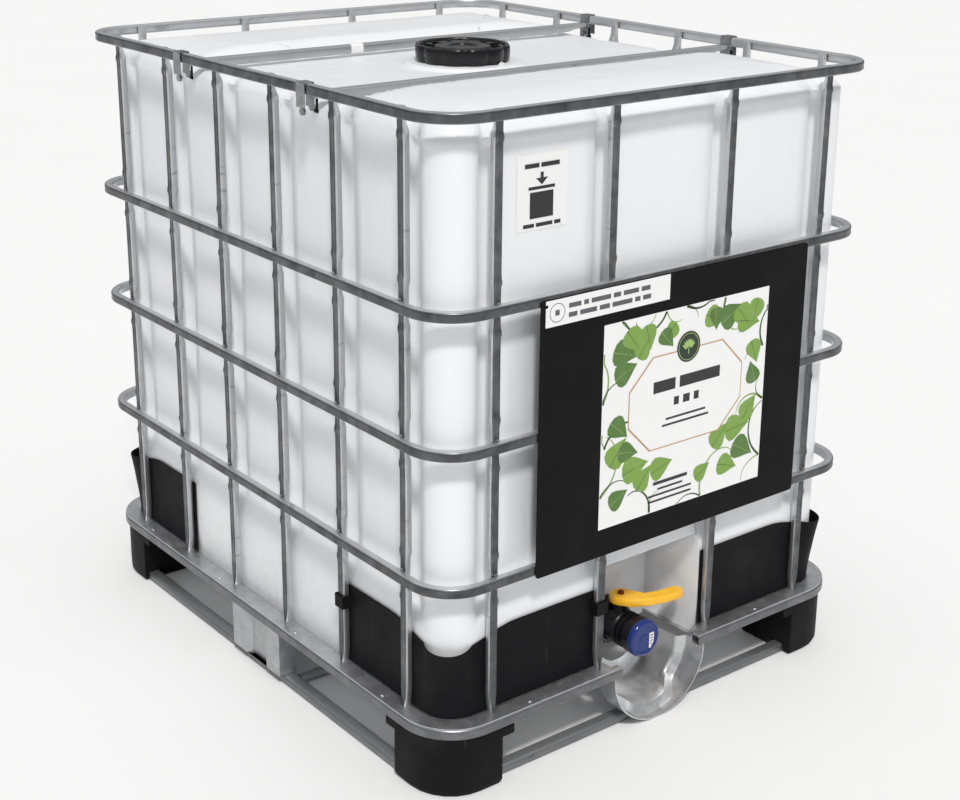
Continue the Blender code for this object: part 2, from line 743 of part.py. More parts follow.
def hook_outline(protector_face, upright_face):
    """C shape that wraps an upright, as (run along the wall, distance out)."""
    clear = TUBE_FACE / 2 + GAP
    wide = clear + HOOK_WALL
    root = protector_face - HOOK_ROOT
    reach = upright_face + GAP
    return [
        (-wide, root),
        (-clear, root),
        (-clear, reach),
        (clear, reach),
        (clear, root),
        (wide, root),
        (wide, reach + HOOK_WALL),
        (-wide, reach + HOOK_WALL),
    ]


# ---------------------------------------------------------------- bottle


def grooved_side(places, depth):
    """(run, depth) along one side of the bottle, dipping at each upright."""
    points = []
    for place in sorted(places):
        far = GROOVE_HALF + GROOVE_RUN
        dips = ((-far, 0), (-GROOVE_HALF, depth), (GROOVE_HALF, depth), (far, 0))
        points += [(place + offset, dip) for offset, dip in dips]
    return points


def bottle_outline(inset, groove):
    """Outline of the bottle, shrunk by inset, with its upright grooves scaled by groove."""
    x = BOTTLE_X - inset
    y = BOTTLE_Y - inset
    radius = max(BOTTLE_CORNER - inset, CORNER_LEAST)
    scale_x = (x - radius) / (BOTTLE_X - BOTTLE_CORNER)
    scale_y = (y - radius) / (BOTTLE_Y - BOTTLE_CORNER)
    depth = groove * (TUBE_DEEP + GAP + GROOVE_CLEAR - BOTTLE_CLEAR)
    front = grooved_side(FRONT_XS, depth)
    side = grooved_side(SIDE_YS, depth)
    points = [(run * scale_x, -y + dip) for run, dip in front]
    points += rounded_corner((x - radius, -y + radius), radius, -90, 5)
    points += [(x - dip, run * scale_y) for run, dip in side]
    points += rounded_corner((x - radius, y - radius), radius, 0, 5)
    points += [(-run * scale_x, y - dip) for run, dip in front]
    points += rounded_corner((-x + radius, y - radius), radius, 90, 5)
    points += [(-x + dip, -run * scale_y) for run, dip in side]
    points += rounded_corner((-x + radius, -y + radius), radius, 180, 5)
    return points


def bottle_body(name, wall, material=None):
    """The moulded block, or with a wall the hollow inside it."""
    levels = [(BOTTLE_BOTTOM + max(wall, height), inset, 0) for height, inset in FOOT_LEVELS]
    if wall:
        levels.pop(0)
    foot = PROTECTOR_TOP + BOTTLE_WALL_ABOVE_PROTECTOR
    levels += [(foot, BOTTLE_FOOT_INSET, 0), (foot + FOOT_TO_WALL, 0, 1)]
    shoulder = BOTTLE_CREST - SHOULDER_HIGH
    levels += [(shoulder + height, inset, groove) for height, inset, groove in SHOULDER_LEVELS]
    levels.append((BOTTLE_CREST - wall, CREST_INSET, 0))
    loops = []
    for z, inset, groove in levels:
        loops.append([Vector((x, y, z)) for x, y in bottle_outline(inset + wall, groove)])
    return finish(name, skin(loops), material, smooth=35)


def saddle_cutter(name, wall):
    """The low middle of the bottle's top, where the neck and the crossbars are."""
    front = FRONT_BAR_Y - SADDLE_MARGIN - wall
    rear = REAR_BAR_Y + SADDLE_MARGIN + wall
    floor = SADDLE - wall
    outline = [(front, floor), (rear, floor), (rear + SADDLE_SLOPE, HEIGHT), (front - SADDLE_SLOPE, HEIGHT)]
    return prism(name, outline, -WIDTH, WIDTH, "X")


def recess_cutter(name, wall):
    """The pocket in the lower front of the bottle that the valve sits in."""
    back = RECESS_BACK + wall
    outline = [
        (-DEPTH, 0),
        (back, 0),
        (back, RECESS_BACK_HIGH + wall),
        (-BOTTLE_Y, RECESS_FRONT_HIGH + wall),
        (-DEPTH, RECESS_FRONT_HIGH + wall),
    ]
    half = RECESS_HALF + wall
    return prism(name, outline, -half, half, "X")


def build_bottle():
    outlet = (0, 0, VALVE_Z)
    bottle = bottle_body("bottle", 0, HDPE)
    boolean(bottle, saddle_cutter("saddle", 0), "DIFFERENCE")
    boolean(bottle, recess_cutter("recess", 0), "DIFFERENCE")
    neck = [(NECK_RADIUS, SADDLE - NECK_ROOT), (NECK_RADIUS, NECK_TOP)]
    boolean(bottle, disc_solid("neck_outside", neck, (0, 0, 0), "Z", steps=32), "UNION")
    boss = [(BOSS_RADIUS, BOSS_END), (BOSS_RADIUS, RECESS_BACK + WALL / 2)]
    boolean(bottle, disc_solid("boss_outside", boss, outlet, "Y", steps=32), "UNION")
    hollow = bottle_body("bottle_hollow", WALL)
    boolean(hollow, saddle_cutter("saddle_inside", WALL), "DIFFERENCE")
    boolean(hollow, recess_cutter("recess_inside", WALL), "DIFFERENCE")
    boolean(bottle, hollow, "DIFFERENCE")
    throat = [(NECK_BORE, SADDLE - 3 * WALL), (NECK_BORE, HEIGHT)]
    boolean(bottle, disc_solid("neck_bore", throat, (0, 0, 0), "Z", steps=32), "DIFFERENCE")
    port = [(VALVE_BORE, BOSS_END - BOSS_LONG), (VALVE_BORE, RECESS_BACK + 2 * WALL)]
    boolean(bottle, disc_solid("outlet_bore", port, outlet, "Y", steps=32), "DIFFERENCE")


# ---------------------------------------------------------------- lid


def build_lid():
    """Screw lid and its seal; both turn about the neck's axis, where their origins are."""
    profile = [(LID_RADIUS, LID_BOTTOM), (LID_RADIUS, LID_TOP - LID_EDGE), (LID_RADIUS - LID_EDGE, LID_TOP)]
    lid = disc_solid("lid", profile, (0, 0, 0), "Z", GLOSS_BLACK, steps=40)
    bore = NECK_RADIUS + LID_THREAD_CLEAR
    inside = [(bore, LID_BOTTOM - LID_HIGH), (bore, LID_TOP - LID_SHEET)]
    boolean(lid, disc_solid("lid_hollow", inside, (0, 0, 0), "Z", steps=40), "DIFFERENCE")
    low = NECK_TOP + GAP
    inner = NECK_BORE + SEAL_MARGIN
    outer = NECK_RADIUS - SEAL_MARGIN
    section = [(inner, low), (outer, low), (outer, low + SEAL_THICK), (inner, low + SEAL_THICK)]
    revolve("lid_gasket", section, (0, 0, 0), "Z", RUBBER, steps=40)
    build_tamper_tag()


def build_tamper_tag():
    """Half-round tag standing against the lid's skirt, towards the valve side."""
    turn = Matrix.Rotation(math.radians(TAG_TURN), 3, "Z")
    near = LID_RADIUS + GAP
    loops = []
    for reach in (near, near + TAG_THICK):
        loop = []
        for i in range(9):
            a = math.pi * i / 8
            loop.append(turn @ Vector((reach, TAG_RADIUS * math.cos(a), LID_BOTTOM + TAG_RADIUS * math.sin(a))))
        loops.append(loop)
    finish("tamper_tag", skin(loops), WHITE)


# ---------------------------------------------------------------- valve


def build_valve():
    centre = (0, 0, VALVE_Z)
    seat = BOSS_END - GAP
    inner = VALVE_BORE + VALVE_SEAL_MARGIN
    section = [
        (inner, seat),
        (VALVE_SEAL_RADIUS, seat),
        (VALVE_SEAL_RADIUS, VALVE_SEAL_END),
        (inner, VALVE_SEAL_END),
    ]
    revolve("valve_gasket", section, centre, "Y", RUBBER)
    build_valve_body(centre)
    build_union_nut(centre)
    build_spindle()
    build_dust_cap(centre)


def build_valve_body(centre):
    waist = VALVE_START - FLANGE_LONG
    bulb = waist - WAIST_LONG
    shoulder = STEM_Y - BULB_HALF
    profile = [
        (VALVE_BODY_RADIUS, VALVE_START),
        (VALVE_BODY_RADIUS, waist),
        (WAIST_RADIUS, waist),
        (WAIST_RADIUS, bulb),
        (VALVE_BODY_RADIUS, bulb),
        (VALVE_BODY_RADIUS, shoulder),
        (NOZZLE_RADIUS, shoulder - NOZZLE_STEP),
        (NOZZLE_RADIUS, NOZZLE_END),
        (VALVE_BORE, NOZZLE_END),
        (VALVE_BORE, VALVE_START),
    ]
    body = revolve("valve_body", profile, centre, "Y", BLACK)
    stem_axis = (0, STEM_Y, 0)
    collar_top = VALVE_Z + HANDLE_LOW - GAP
    collar = [(COLLAR_RADIUS, VALVE_Z + COLLAR_ROOT), (COLLAR_RADIUS, collar_top)]
    boolean(body, disc_solid("valve_collar", collar, stem_axis, "Z", steps=20), "UNION")
    bore = STEM_RADIUS + STEM_CLEAR
    hole = [(bore, VALVE_Z - VALVE_BORE - PIN_SOCKET), (bore, collar_top + HANDLE_THICK)]
    boolean(body, disc_solid("stem_hole", hole, stem_axis, "Z", steps=20), "DIFFERENCE")


def build_union_nut(centre):
    """Nut that pulls the valve's flange onto the bottle's boss."""
    bore = VALVE_BODY_RADIUS + NUT_WALL_CLEAR
    lip_bore = WAIST_RADIUS + GAP
    rear = RECESS_BACK - NUT_BEHIND
    lip = VALVE_START - FLANGE_LONG - GAP
    front = lip - NUT_LONG + GAP
    profile = [
        (bore, rear),
        (NUT_RADIUS, rear),
        (NUT_RADIUS, front + NUT_CHAMFER),
        (NUT_RADIUS - NUT_CHAMFER, front),
        (lip_bore, front),
        (lip_bore, lip),
        (bore, lip),
    ]
    revolve("valve_union_nut", profile, centre, "Y", BLACK)


def build_spindle():
    """Everything that turns when the lever is swung: disc, stem, lever and its screw."""
    stem_axis = (0, STEM_Y, 0)
    plate = VALVE_BORE - DISC_CLEAR
    profile = [
        (plate - DISC_EDGE, -DISC_THICK / 2),
        (plate, -DISC_THICK / 4),
        (plate, DISC_THICK / 4),
        (plate - DISC_EDGE, DISC_THICK / 2),
    ]
    disc = disc_solid("valve_disc", profile, (0, STEM_Y, VALVE_Z), "Y", WHITE)
    set_origin(disc, (0, STEM_Y, VALVE_Z))
    pin_low = VALVE_Z - VALVE_BORE - PIN_SOCKET + PIN_END_CLEAR
    hub_top = VALVE_Z + plate
    pin = [(STEM_RADIUS, pin_low), (STEM_RADIUS, hub_top)]
    boolean(disc, disc_solid("disc_pin", pin, stem_axis, "Z", steps=20), "UNION")
    handle_low = VALVE_Z + HANDLE_LOW
    handle_high = handle_low + HANDLE_THICK
    stem_top = handle_high - STEM_SHORT_OF_HANDLE
    rod = [(STEM_RADIUS, hub_top + GAP), (STEM_RADIUS, stem_top)]
    stem = disc_solid("valve_stem", rod, stem_axis, "Z", STEEL, steps=20)
    set_origin(stem, (0, STEM_Y, hub_top))
    build_handle(handle_low, handle_high)
    head = handle_high + GAP
    screw_profile = [
        (SCREW_SHANK_RADIUS, stem_top + GAP),
        (SCREW_SHANK_RADIUS, head),
        (SCREW_HEAD_RADIUS, head + GAP),
        (SCREW_HEAD_RADIUS, head + 3 * SCREW_HEAD_HIGH / 4),
        (3 * SCREW_HEAD_RADIUS / 4, head + SCREW_HEAD_HIGH),
    ]
    screw = disc_solid("handle_screw", screw_profile, stem_axis, "Z", STEEL, steps=20)
    set_origin(screw, (0, STEM_Y, head))


def handle_outline():
    """Lever seen from above, about its pivot: round hub and an arm swept out across the outlet."""
    left, right, directions = [], [], []
    last = len(ARM_SPINE) - 1
    for i, (point, half) in enumerate(zip(ARM_SPINE, ARM_HALVES)):
        before = Vector(ARM_SPINE[max(i - 1, 0)])
        after = Vector(ARM_SPINE[min(i + 1, last)])
        along = (after - before).normalized()
        across = Vector((-along.y, along.x)) * half
        left.append(Vector(point) + across)
        right.append(Vector(point) - across)
        directions.append(math.atan2(along.y, along.x))
    tip = []
    for i in range(1, 6):
        a = directions[-1] - math.pi / 2 + math.pi * i / 6
        tip.append(Vector(ARM_SPINE[-1]) + ARM_HALVES[-1] * Vector((math.cos(a), math.sin(a))))
    hub = []
    for i in range(1, 8):
        a = directions[0] + math.pi / 2 + math.pi * i / 8
        hub.append(HUB_HALF * Vector((math.cos(a), math.sin(a))))
    return right + tip + left[::-1] + hub


def build_handle(low, high):
    outline = handle_outline()
    middle = Vector(ARM_SPINE[2])
    loops = []
    for shrink, z in ((HANDLE_EDGE, low), (0, low + HANDLE_EDGE), (0, high - HANDLE_EDGE), (HANDLE_EDGE, high)):
        spots = [point + (middle - point).normalized() * shrink for point in outline]
        loops.append([Vector((spot.x, STEM_Y + spot.y, z)) for spot in spots])
    handle = finish("valve_handle", skin(loops), YELLOW, smooth=40)
    set_origin(handle, (0, STEM_Y, low))
    bore = STEM_RADIUS + STEM_CLEAR
    hole = [(bore, low - HANDLE_THICK), (bore, high + HANDLE_THICK)]
    boolean(handle, disc_solid("handle_hole", hole, (0, STEM_Y, 0), "Z", steps=20), "DIFFERENCE")


def build_dust_cap(centre):
    """Screw cap over the nozzle; cap and seal have their origins on the nozzle's axis."""
    seal_back = NOZZLE_END - GAP
    seal_front = seal_back - CAP_SEAL_THICK
    radius = NOZZLE_RADIUS - CAP_SEAL_CLEAR
    seal = disc_solid("dust_cap_gasket", [(radius, seal_back), (radius, seal_front)], centre, "Y", RUBBER)
    set_origin(seal, (0, seal_back, VALVE_Z))
    floor = seal_front - GAP
    face = floor - CAP_FACE
    profile = [
        (CAP_RADIUS, NOZZLE_END + CAP_SKIRT),
        (CAP_RADIUS, face + CAP_CHAMFER),
        (CAP_RADIUS - CAP_CHAMFER, face),
    ]
    cap = disc_solid("dust_cap", profile, centre, "Y", BLUE, steps=32)
    set_origin(cap, (0, floor, VALVE_Z))
    bore = NOZZLE_RADIUS + CAP_THREAD_CLEAR
    inside = [(bore, NOZZLE_END + 2 * CAP_SKIRT), (bore, floor)]
    boolean(cap, disc_solid("cap_hollow", inside, centre, "Y", steps=32), "DIFFERENCE")


build_cage()
build_crossbars()
build_label_plate()
build_pallet_tube()
build_deck()
build_base_loop()
build_legs()
build_feet()
build_trough()
build_protectors()
build_bottle()
build_lid()
build_valve()
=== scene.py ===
import math

import bmesh
import bpy
from mathutils import Matrix, Vector, noise


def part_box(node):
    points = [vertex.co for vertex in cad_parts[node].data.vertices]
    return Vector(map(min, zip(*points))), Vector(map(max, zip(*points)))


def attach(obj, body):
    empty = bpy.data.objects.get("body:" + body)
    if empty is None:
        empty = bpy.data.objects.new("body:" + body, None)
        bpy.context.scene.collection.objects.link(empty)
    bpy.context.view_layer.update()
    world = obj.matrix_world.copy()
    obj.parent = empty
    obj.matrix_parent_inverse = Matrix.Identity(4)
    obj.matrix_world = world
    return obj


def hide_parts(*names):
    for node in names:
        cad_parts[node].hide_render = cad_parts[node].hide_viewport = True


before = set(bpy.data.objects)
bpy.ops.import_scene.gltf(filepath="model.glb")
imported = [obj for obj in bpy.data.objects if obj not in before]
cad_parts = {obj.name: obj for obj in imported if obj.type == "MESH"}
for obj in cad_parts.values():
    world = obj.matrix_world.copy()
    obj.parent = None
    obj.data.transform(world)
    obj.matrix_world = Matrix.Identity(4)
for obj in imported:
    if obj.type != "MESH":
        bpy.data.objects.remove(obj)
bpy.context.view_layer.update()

# ---------------------------------------------------------------- where the container is seen from
# A container this size is seen from a little above, at its near left corner.
# One broad soft lamp stands high on the left, the sky above is bright, and the floor is pale.

eye = bpy.data.cameras.new("eye")
eye.lens = 61.1465
eye.sensor_width = 36.0
eye.shift_x = -0.00865
eye.shift_y = -0.0848
eye.clip_end = 100.0
camera = bpy.data.objects.new("eye", eye)
camera.location = (-1.88339, -2.45909, 1.58372)
camera.rotation_euler = tuple(math.radians(turn) for turn in (72.590, -0.5355, -38.2759))
bpy.context.scene.collection.objects.link(camera)
bpy.context.scene.camera = camera
bpy.context.scene.view_settings.view_transform = "Standard"

lamp_data = bpy.data.lights.new("high_lamp", "SUN")
lamp_data.energy = 2.05
lamp_data.angle = math.radians(7)
lamp_data.color = (1.0, 0.985, 0.96)
lamp = bpy.data.objects.new("high_lamp", lamp_data)
lamp.rotation_euler = Vector((0.42, 0.72, -1.12)).to_track_quat("-Z", "Y").to_euler()
bpy.context.scene.collection.objects.link(lamp)

sky = bpy.data.worlds.new("studio_sky")
sky.use_nodes = True
bpy.context.scene.world = sky
sky_tree = sky.node_tree
sky_place = sky_tree.nodes.new("ShaderNodeTexCoord")
sky_split = sky_tree.nodes.new("ShaderNodeSeparateXYZ")
sky_ramp = sky_tree.nodes.new("ShaderNodeValToRGB")
sky_ramp.color_ramp.elements[0].position = 0.0
sky_ramp.color_ramp.elements[0].color = (0.30, 0.32, 0.35, 1)
sky_ramp.color_ramp.elements[1].position = 0.75
sky_ramp.color_ramp.elements[1].color = (0.98, 0.99, 1.0, 1)
sky_tree.links.new(sky_place.outputs["Generated"], sky_split.inputs[0])
sky_tree.links.new(sky_split.outputs["Z"], sky_ramp.inputs[0])
sky_tree.links.new(sky_ramp.outputs[0], sky_tree.nodes["Background"].inputs[0])
sky_tree.nodes["Background"].inputs[1].default_value = 0.62


class Amount:
    """A number that changes over a surface. A sum written on it adds its Math nodes."""

    def __init__(self, finish, socket):
        self.finish = finish
        self.socket = socket

    def worked(self, operation, first, second, clamp=False):
        settings = {"operation": operation, "use_clamp": clamp}
        node = self.finish.add("Math", settings, {0: first, 1: second})
        return Amount(self.finish, node.outputs[0])

    def __add__(self, other):
        return self.worked("ADD", self, other)

    def __radd__(self, other):
        return self.worked("ADD", other, self)

    def __sub__(self, other):
        return self.worked("SUBTRACT", self, other)

    def __rsub__(self, other):
        return self.worked("SUBTRACT", other, self)

    def __mul__(self, other):
        return self.worked("MULTIPLY", self, other)

    def __rmul__(self, other):
        return self.worked("MULTIPLY", other, self)

    def __truediv__(self, other):
        return self.worked("DIVIDE", self, other)

    def __pow__(self, other):
        return self.worked("POWER", self, other)

    def held(self):
        return self.worked("ADD", self, 0.0, clamp=True)


class Finish:
    """One surface: a Principled shader with what feeds it."""

    def __init__(self, name, **sockets):
        self.material = bpy.data.materials.new(name)
        self.material.use_nodes = True
        self.tree = self.material.node_tree
        self.shader = self.tree.nodes["Principled BSDF"]
        self.give(self.shader, {key.replace("_", " "): value for key, value in sockets.items()})
        self.spot = self.add("TexCoord").outputs["Object"]

    def give(self, node, sockets):
        for key, value in sockets.items():
            if isinstance(value, Amount):
                value = value.socket
            if isinstance(value, bpy.types.NodeSocket):
                self.tree.links.new(value, node.inputs[key])
            elif isinstance(value, tuple) and len(value) == 3 and node.inputs[key].type == "RGBA":
                node.inputs[key].default_value = (*value, 1.0)
            else:
                node.inputs[key].default_value = value

    def add(self, kind, settings=None, sockets=None):
        """A node of that kind, its settings made first and then its sockets filled."""
        node = self.tree.nodes.new("ShaderNode" + kind)
        for key, value in (settings or {}).items():
            setattr(node, key, value)
        self.give(node, sockets or {})
        return node

    def stretched(self, scale, turn=(0, 0, 0)):
        sockets = {"Vector": self.spot, "Scale": scale, "Rotation": turn}
        return self.add("Mapping", None, sockets).outputs[0]

    def cloud(self, scale, detail=3.0, stretch=(1, 1, 1), rough=0.55, warp=0.0):
        """Soft random patches, this many to the metre."""
        sockets = {"Vector": self.stretched(stretch), "Scale": scale, "Detail": detail}
        sockets.update({"Roughness": rough, "Distortion": warp})
        return Amount(self, self.add("TexNoise", None, sockets).outputs["Fac"])

    def crystals(self, scale, feature="F1", stretch=(1, 1, 1)):
        sockets = {"Vector": self.stretched(stretch), "Scale": scale}
        node = self.add("TexVoronoi", {"feature": feature}, sockets)
        return Amount(self, node.outputs["Color" if feature == "F1" else "Distance"])

    def between(self, amount, low, high):
        """0 where the amount is under low, 1 where it is over high, smooth between."""
        sockets = {"Value": amount, "From Min": low, "From Max": high}
        node = self.add("MapRange", {"interpolation_type": "SMOOTHSTEP"}, sockets)
        return Amount(self, node.outputs[0])

    def blend(self, share, first, second):
        node = self.add("Mix", {"data_type": "RGBA"}, {0: share, 6: first, 7: second})
        return node.outputs[2]

    def height(self):
        return Amount(self, self.add("SeparateXYZ", None, {0: self.spot}).outputs[2])

    def relief(self, amount, distance, strength=1.0):
        sockets = {"Height": amount, "Distance": distance, "Strength": strength}
        bump = self.add("Bump", None, sockets)
        self.give(self.shader, {"Normal": bump.outputs[0]})

    def done(self, **sockets):
        self.give(self.shader, {key.replace("_", " "): value for key, value in sockets.items()})
        return self.material


def floor_finish():
    pale = Finish("pale_floor", Roughness=0.75)
    tone = pale.cloud(1.3, 3.0)
    grain = pale.cloud(160.0, 2.0)
    pale.relief(grain, 0.0004, 0.3)
    return pale.done(Base_Color=pale.blend(tone, (0.90, 0.90, 0.895), (0.94, 0.94, 0.94)))


floor_mesh = bmesh.new()
bmesh.ops.create_grid(floor_mesh, x_segments=8, y_segments=8, size=40.0)
floor_data = bpy.data.meshes.new("floor")
floor_mesh.to_mesh(floor_data)
floor_mesh.free()
floor_data.materials.append(floor_finish())
floor = bpy.data.objects.new("floor", floor_data)
bpy.context.scene.collection.objects.link(floor)

# ---------------------------------------------------------------- base loop
# A galvanised tube is rolled flat and bent into a round-cornered loop that rests on the floor.
# A lighter tube crosses it behind the valve and is welded between its two long sides.

LOOP_X, LOOP_Y, LOOP_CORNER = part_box("base_loop")[1].x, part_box("base_loop")[1].y, 0.085
LOOP_FACE, LOOP_HIGH = 0.026, 0.018


def zinc_tube(name, light, dark, rough, dirt):
    """Zinc on drawn tube: painted shade on the outward faces, flanks painted brighter as a painted reflection,
    specks and rubbed streaks.
    """
    zinc = Finish(name, Metallic=0.88)
    patches = zinc.cloud(26.0, 4.0, warp=0.6)
    specks = zinc.between(zinc.cloud(420.0, 2.0), 0.70, 0.80)
    streaks = zinc.cloud(70.0, 4.0, stretch=(1, 1, 0.12))
    scuffs = zinc.between(zinc.cloud(9.0, 5.0, stretch=(1, 1, 4), warp=1.5), 0.62, 0.70)
    outward = Amount(zinc, zinc.add("Attribute", {"attribute_name": "outward"}).outputs["Fac"])
    # Painted shade: faces that look out of the cage take the dark tone and the flanks keep the light tone, a
    # painted reflection of the surroundings.
    shade = (zinc.between(outward, 0.25, 0.95) * 0.9 + patches * 0.35 - 0.17).held()
    tone = zinc.blend(shade, light, dark)
    tone = zinc.blend(specks * 0.2, tone, (0.50, 0.51, 0.53))
    tone = zinc.blend(scuffs * 0.35, tone, (0.08, 0.08, 0.085))
    tone = zinc.blend(zinc.between(zinc.cloud(14.0, 5.0), 0.60, 0.78) * dirt, tone, (0.30, 0.26, 0.20))
    zinc.relief(streaks * 0.5 + specks * 0.3 + patches * 0.5, 0.0012, 0.35)
    return zinc.done(Base_Color=tone, Roughness=(patches * 0.25 + streaks * 0.12 + rough).held())


def mark_outward(bm):
    """Keeps on each face how far it looks straight out of the cage; zinc_tube reads it to paint shade on
    outward faces.
    """
    layer = bm.faces.layers.float.new("outward")
    for face in bm.faces:
        spot = face.calc_center_median()
        out_x = math.copysign(max(abs(spot.x) - 0.400, 0), spot.x)
        out_y = math.copysign(max(abs(spot.y) - 0.500, 0), spot.y)
        away = Vector((out_x, out_y, 0))
        face[layer] = max(0.0, face.normal.dot(away.normalized())) if away.length else 0.0


def put(name, bm, material, nodes=(), body="container", sharp=35, turn=True):
    """Makes the mesh an object that rides on a body and stands for CAD nodes."""
    if turn:
        bmesh.ops.recalc_face_normals(bm, faces=bm.faces)
    for face in bm.faces:
        face.smooth = True
    for edge in bm.edges:
        edge.smooth = len(edge.link_faces) == 2 and edge.calc_face_angle(0) < math.radians(sharp)
    mark_outward(bm)
    mesh = bpy.data.meshes.new(name)
    bm.to_mesh(mesh)
    bm.free()
    mesh.materials.append(material)
    piece = bpy.data.objects.new(name, mesh)
    bpy.context.scene.collection.objects.link(piece)
    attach(piece, body)
    if nodes:
        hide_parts(*nodes)
    return piece


def strung(bm, places, closed=True):
    """Edges that join new points at these places, in order."""
    verts = [bm.verts.new(place) for place in places]
    ends = verts[1:] + verts[:1] if closed else verts[1:]
    return [bm.edges.new(pair) for pair in zip(verts, ends)]


def next_ring(bm, edges):
    """Extrudes these edges where they are and gives the new edges and points."""
    made = bmesh.ops.extrude_edge_only(bm, edges=edges)["geom"]
    edges = [item for item in made if isinstance(item, bmesh.types.BMEdge)]
    return edges, [item for item in made if isinstance(item, bmesh.types.BMVert)]


def carried(bm, edges, step):
    """Extrudes these edges by one straight step and gives the new edges."""
    edges, verts = next_ring(bm, edges)
    bmesh.ops.translate(bm, vec=step, verts=verts)
    return edges


def turned(bm, edges, centre, axis, angle, steps):
    """Spins these edges about an axis and gives the last ones."""
    verts = list({vert for edge in edges for vert in edge.verts})
    made = bmesh.ops.spin(
        bm, geom=verts + edges, cent=centre, axis=axis, angle=angle, steps=steps, use_merge=False
    )["geom_last"]
    return [item for item in made if isinstance(item, bmesh.types.BMEdge)]


def rounded_section(deep, high, round_off, hollow=0.0):
    """Points of a tube's section as (inset from its outer face, height), with round edges."""
    points = []
    corners = ((deep - round_off, round_off, -90), (deep - round_off, high - round_off, 0))
    corners += ((round_off, high - round_off, 90), (round_off, round_off, 180))
    for middle_in, middle_up, start in corners:
        for i in range(5):
            a = math.radians(start + 22.5 * i)
            points.append((middle_in + round_off * math.cos(a), middle_up + round_off * math.sin(a)))
        if start == 90:
            points.append((hollow, high / 2))
    return points


def round_the_corners(section, half_x, half_y, corner, low, steps=14, gap=0.0, closed=True):
    """Carries a section once round a rectangle with round corners, beginning in the front."""
    bm = bmesh.new()
    edges = strung(bm, [(gap, -half_y + inset, low + height) for inset, height in section], closed)
    long_x, long_y = 2 * (half_x - corner), 2 * (half_y - corner)
    edges = carried(bm, edges, (long_x / 2 - gap, 0, 0))
    quarter = math.pi / 2
    for sign_x, sign_y, step in ((1, -1, (0, long_y, 0)), (1, 1, (-long_x, 0, 0)), (-1, 1, (0, -long_y, 0))):
        centre = (sign_x * (half_x - corner), sign_y * (half_y - corner), 0)
        edges = turned(bm, edges, centre, (0, 0, 1), quarter, steps)
        parts = 12
        for i in range(parts):
            edges = carried(bm, edges, Vector(step) / parts)
    centre = (-(half_x - corner), -(half_y - corner), 0)
    edges = turned(bm, edges, centre, (0, 0, 1), quarter, steps)
    carried(bm, edges, (long_x / 2 - gap, 0, 0))
    if gap == 0:
        bmesh.ops.remove_doubles(bm, verts=bm.verts, dist=1e-5)
    return bm


BASE_ZINC = zinc_tube("base_zinc", (0.40, 0.41, 0.42), (0.20, 0.21, 0.22), 0.30, 0.5)
loop = round_the_corners(rounded_section(LOOP_FACE, LOOP_HIGH, 0.006), LOOP_X, LOOP_Y, LOOP_CORNER, 0.0)
put("base_loop_tube", loop, BASE_ZINC, ["base_loop"])

cross_low, cross_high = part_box("base_cross_tube")
cross = bmesh.new()
bmesh.ops.create_cone(cross, cap_ends=True, segments=24, radius1=0.011, radius2=0.011,
    depth=cross_high.x - cross_low.x)
bmesh.ops.rotate(cross, cent=(0, 0, 0), matrix=Matrix.Rotation(math.pi / 2, 3, "Y"), verts=cross.verts)
bmesh.ops.scale(cross, vec=(1, 1, 0.016 / 0.022), verts=cross.verts)
bmesh.ops.translate(cross, vec=(cross_low + cross_high) / 2, verts=cross.verts)
put("base_cross_bar", cross, BASE_ZINC, ["base_cross_tube"])

# ---------------------------------------------------------------- feet
# Each corner stands on a black moulded foot with a round outer corner and two small tabs.
# The foot is clipped over the base loop; its faces are matt, scuffed and a little dusty.


def black_moulding(name, tone, rough, dust, shine=0.11):
    black = Finish(name, Specular_IOR_Level=shine)
    soft = black.cloud(18.0, 4.0, warp=0.8)
    grain = black.cloud(900.0, 2.0)
    scratch = black.between(black.cloud(60.0, 5.0, stretch=(1, 1, 0.07), warp=0.4), 0.66, 0.72)
    dusty = black.between(black.cloud(7.0, 5.0), 0.48, 0.80) * dust
    colour = black.blend(dusty, tone, (0.12, 0.115, 0.105))
    colour = black.blend(scratch * 0.10, colour, (0.22, 0.22, 0.22))
    black.relief(soft * 0.7 + grain * 0.12, 0.0014, 0.35)
    return black.done(Base_Color=colour, Roughness=(soft * 0.25 + scratch * 0.15 + rough).held())


def merged_copy(node):
    """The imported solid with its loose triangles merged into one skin."""
    bm = bmesh.new()
    bm.from_mesh(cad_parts[node].data)
    bmesh.ops.remove_doubles(bm, verts=bm.verts, dist=2e-5)
    bmesh.ops.dissolve_limit(bm, angle_limit=math.radians(0.5), verts=bm.verts, edges=bm.edges)
    return bm


def ease_edges(piece, width, segments=2, angle=28):
    bevel = piece.modifiers.new("eased_edges", "BEVEL")
    bevel.width = width
    bevel.segments = segments
    bevel.limit_method = "ANGLE"
    bevel.angle_limit = math.radians(angle)
    bevel.harden_normals = False
    return piece


FOOT_BLACK = black_moulding("foot_black", (0.0065, 0.0065, 0.0075), 0.46, 0.12)
for corner in ("front_left", "front_right", "rear_left", "rear_right"):
    foot = put(f"foot_block_{corner}", merged_copy(f"foot_{corner}"), FOOT_BLACK, [f"foot_{corner}"])
    ease_edges(foot, 0.0022, 3)

# ---------------------------------------------------------------- legs
# Folded galvanised sheet with one rib pressed down its middle carries each long side and the rear.
# They are spot-welded to the pallet tube above and to the base loop below.


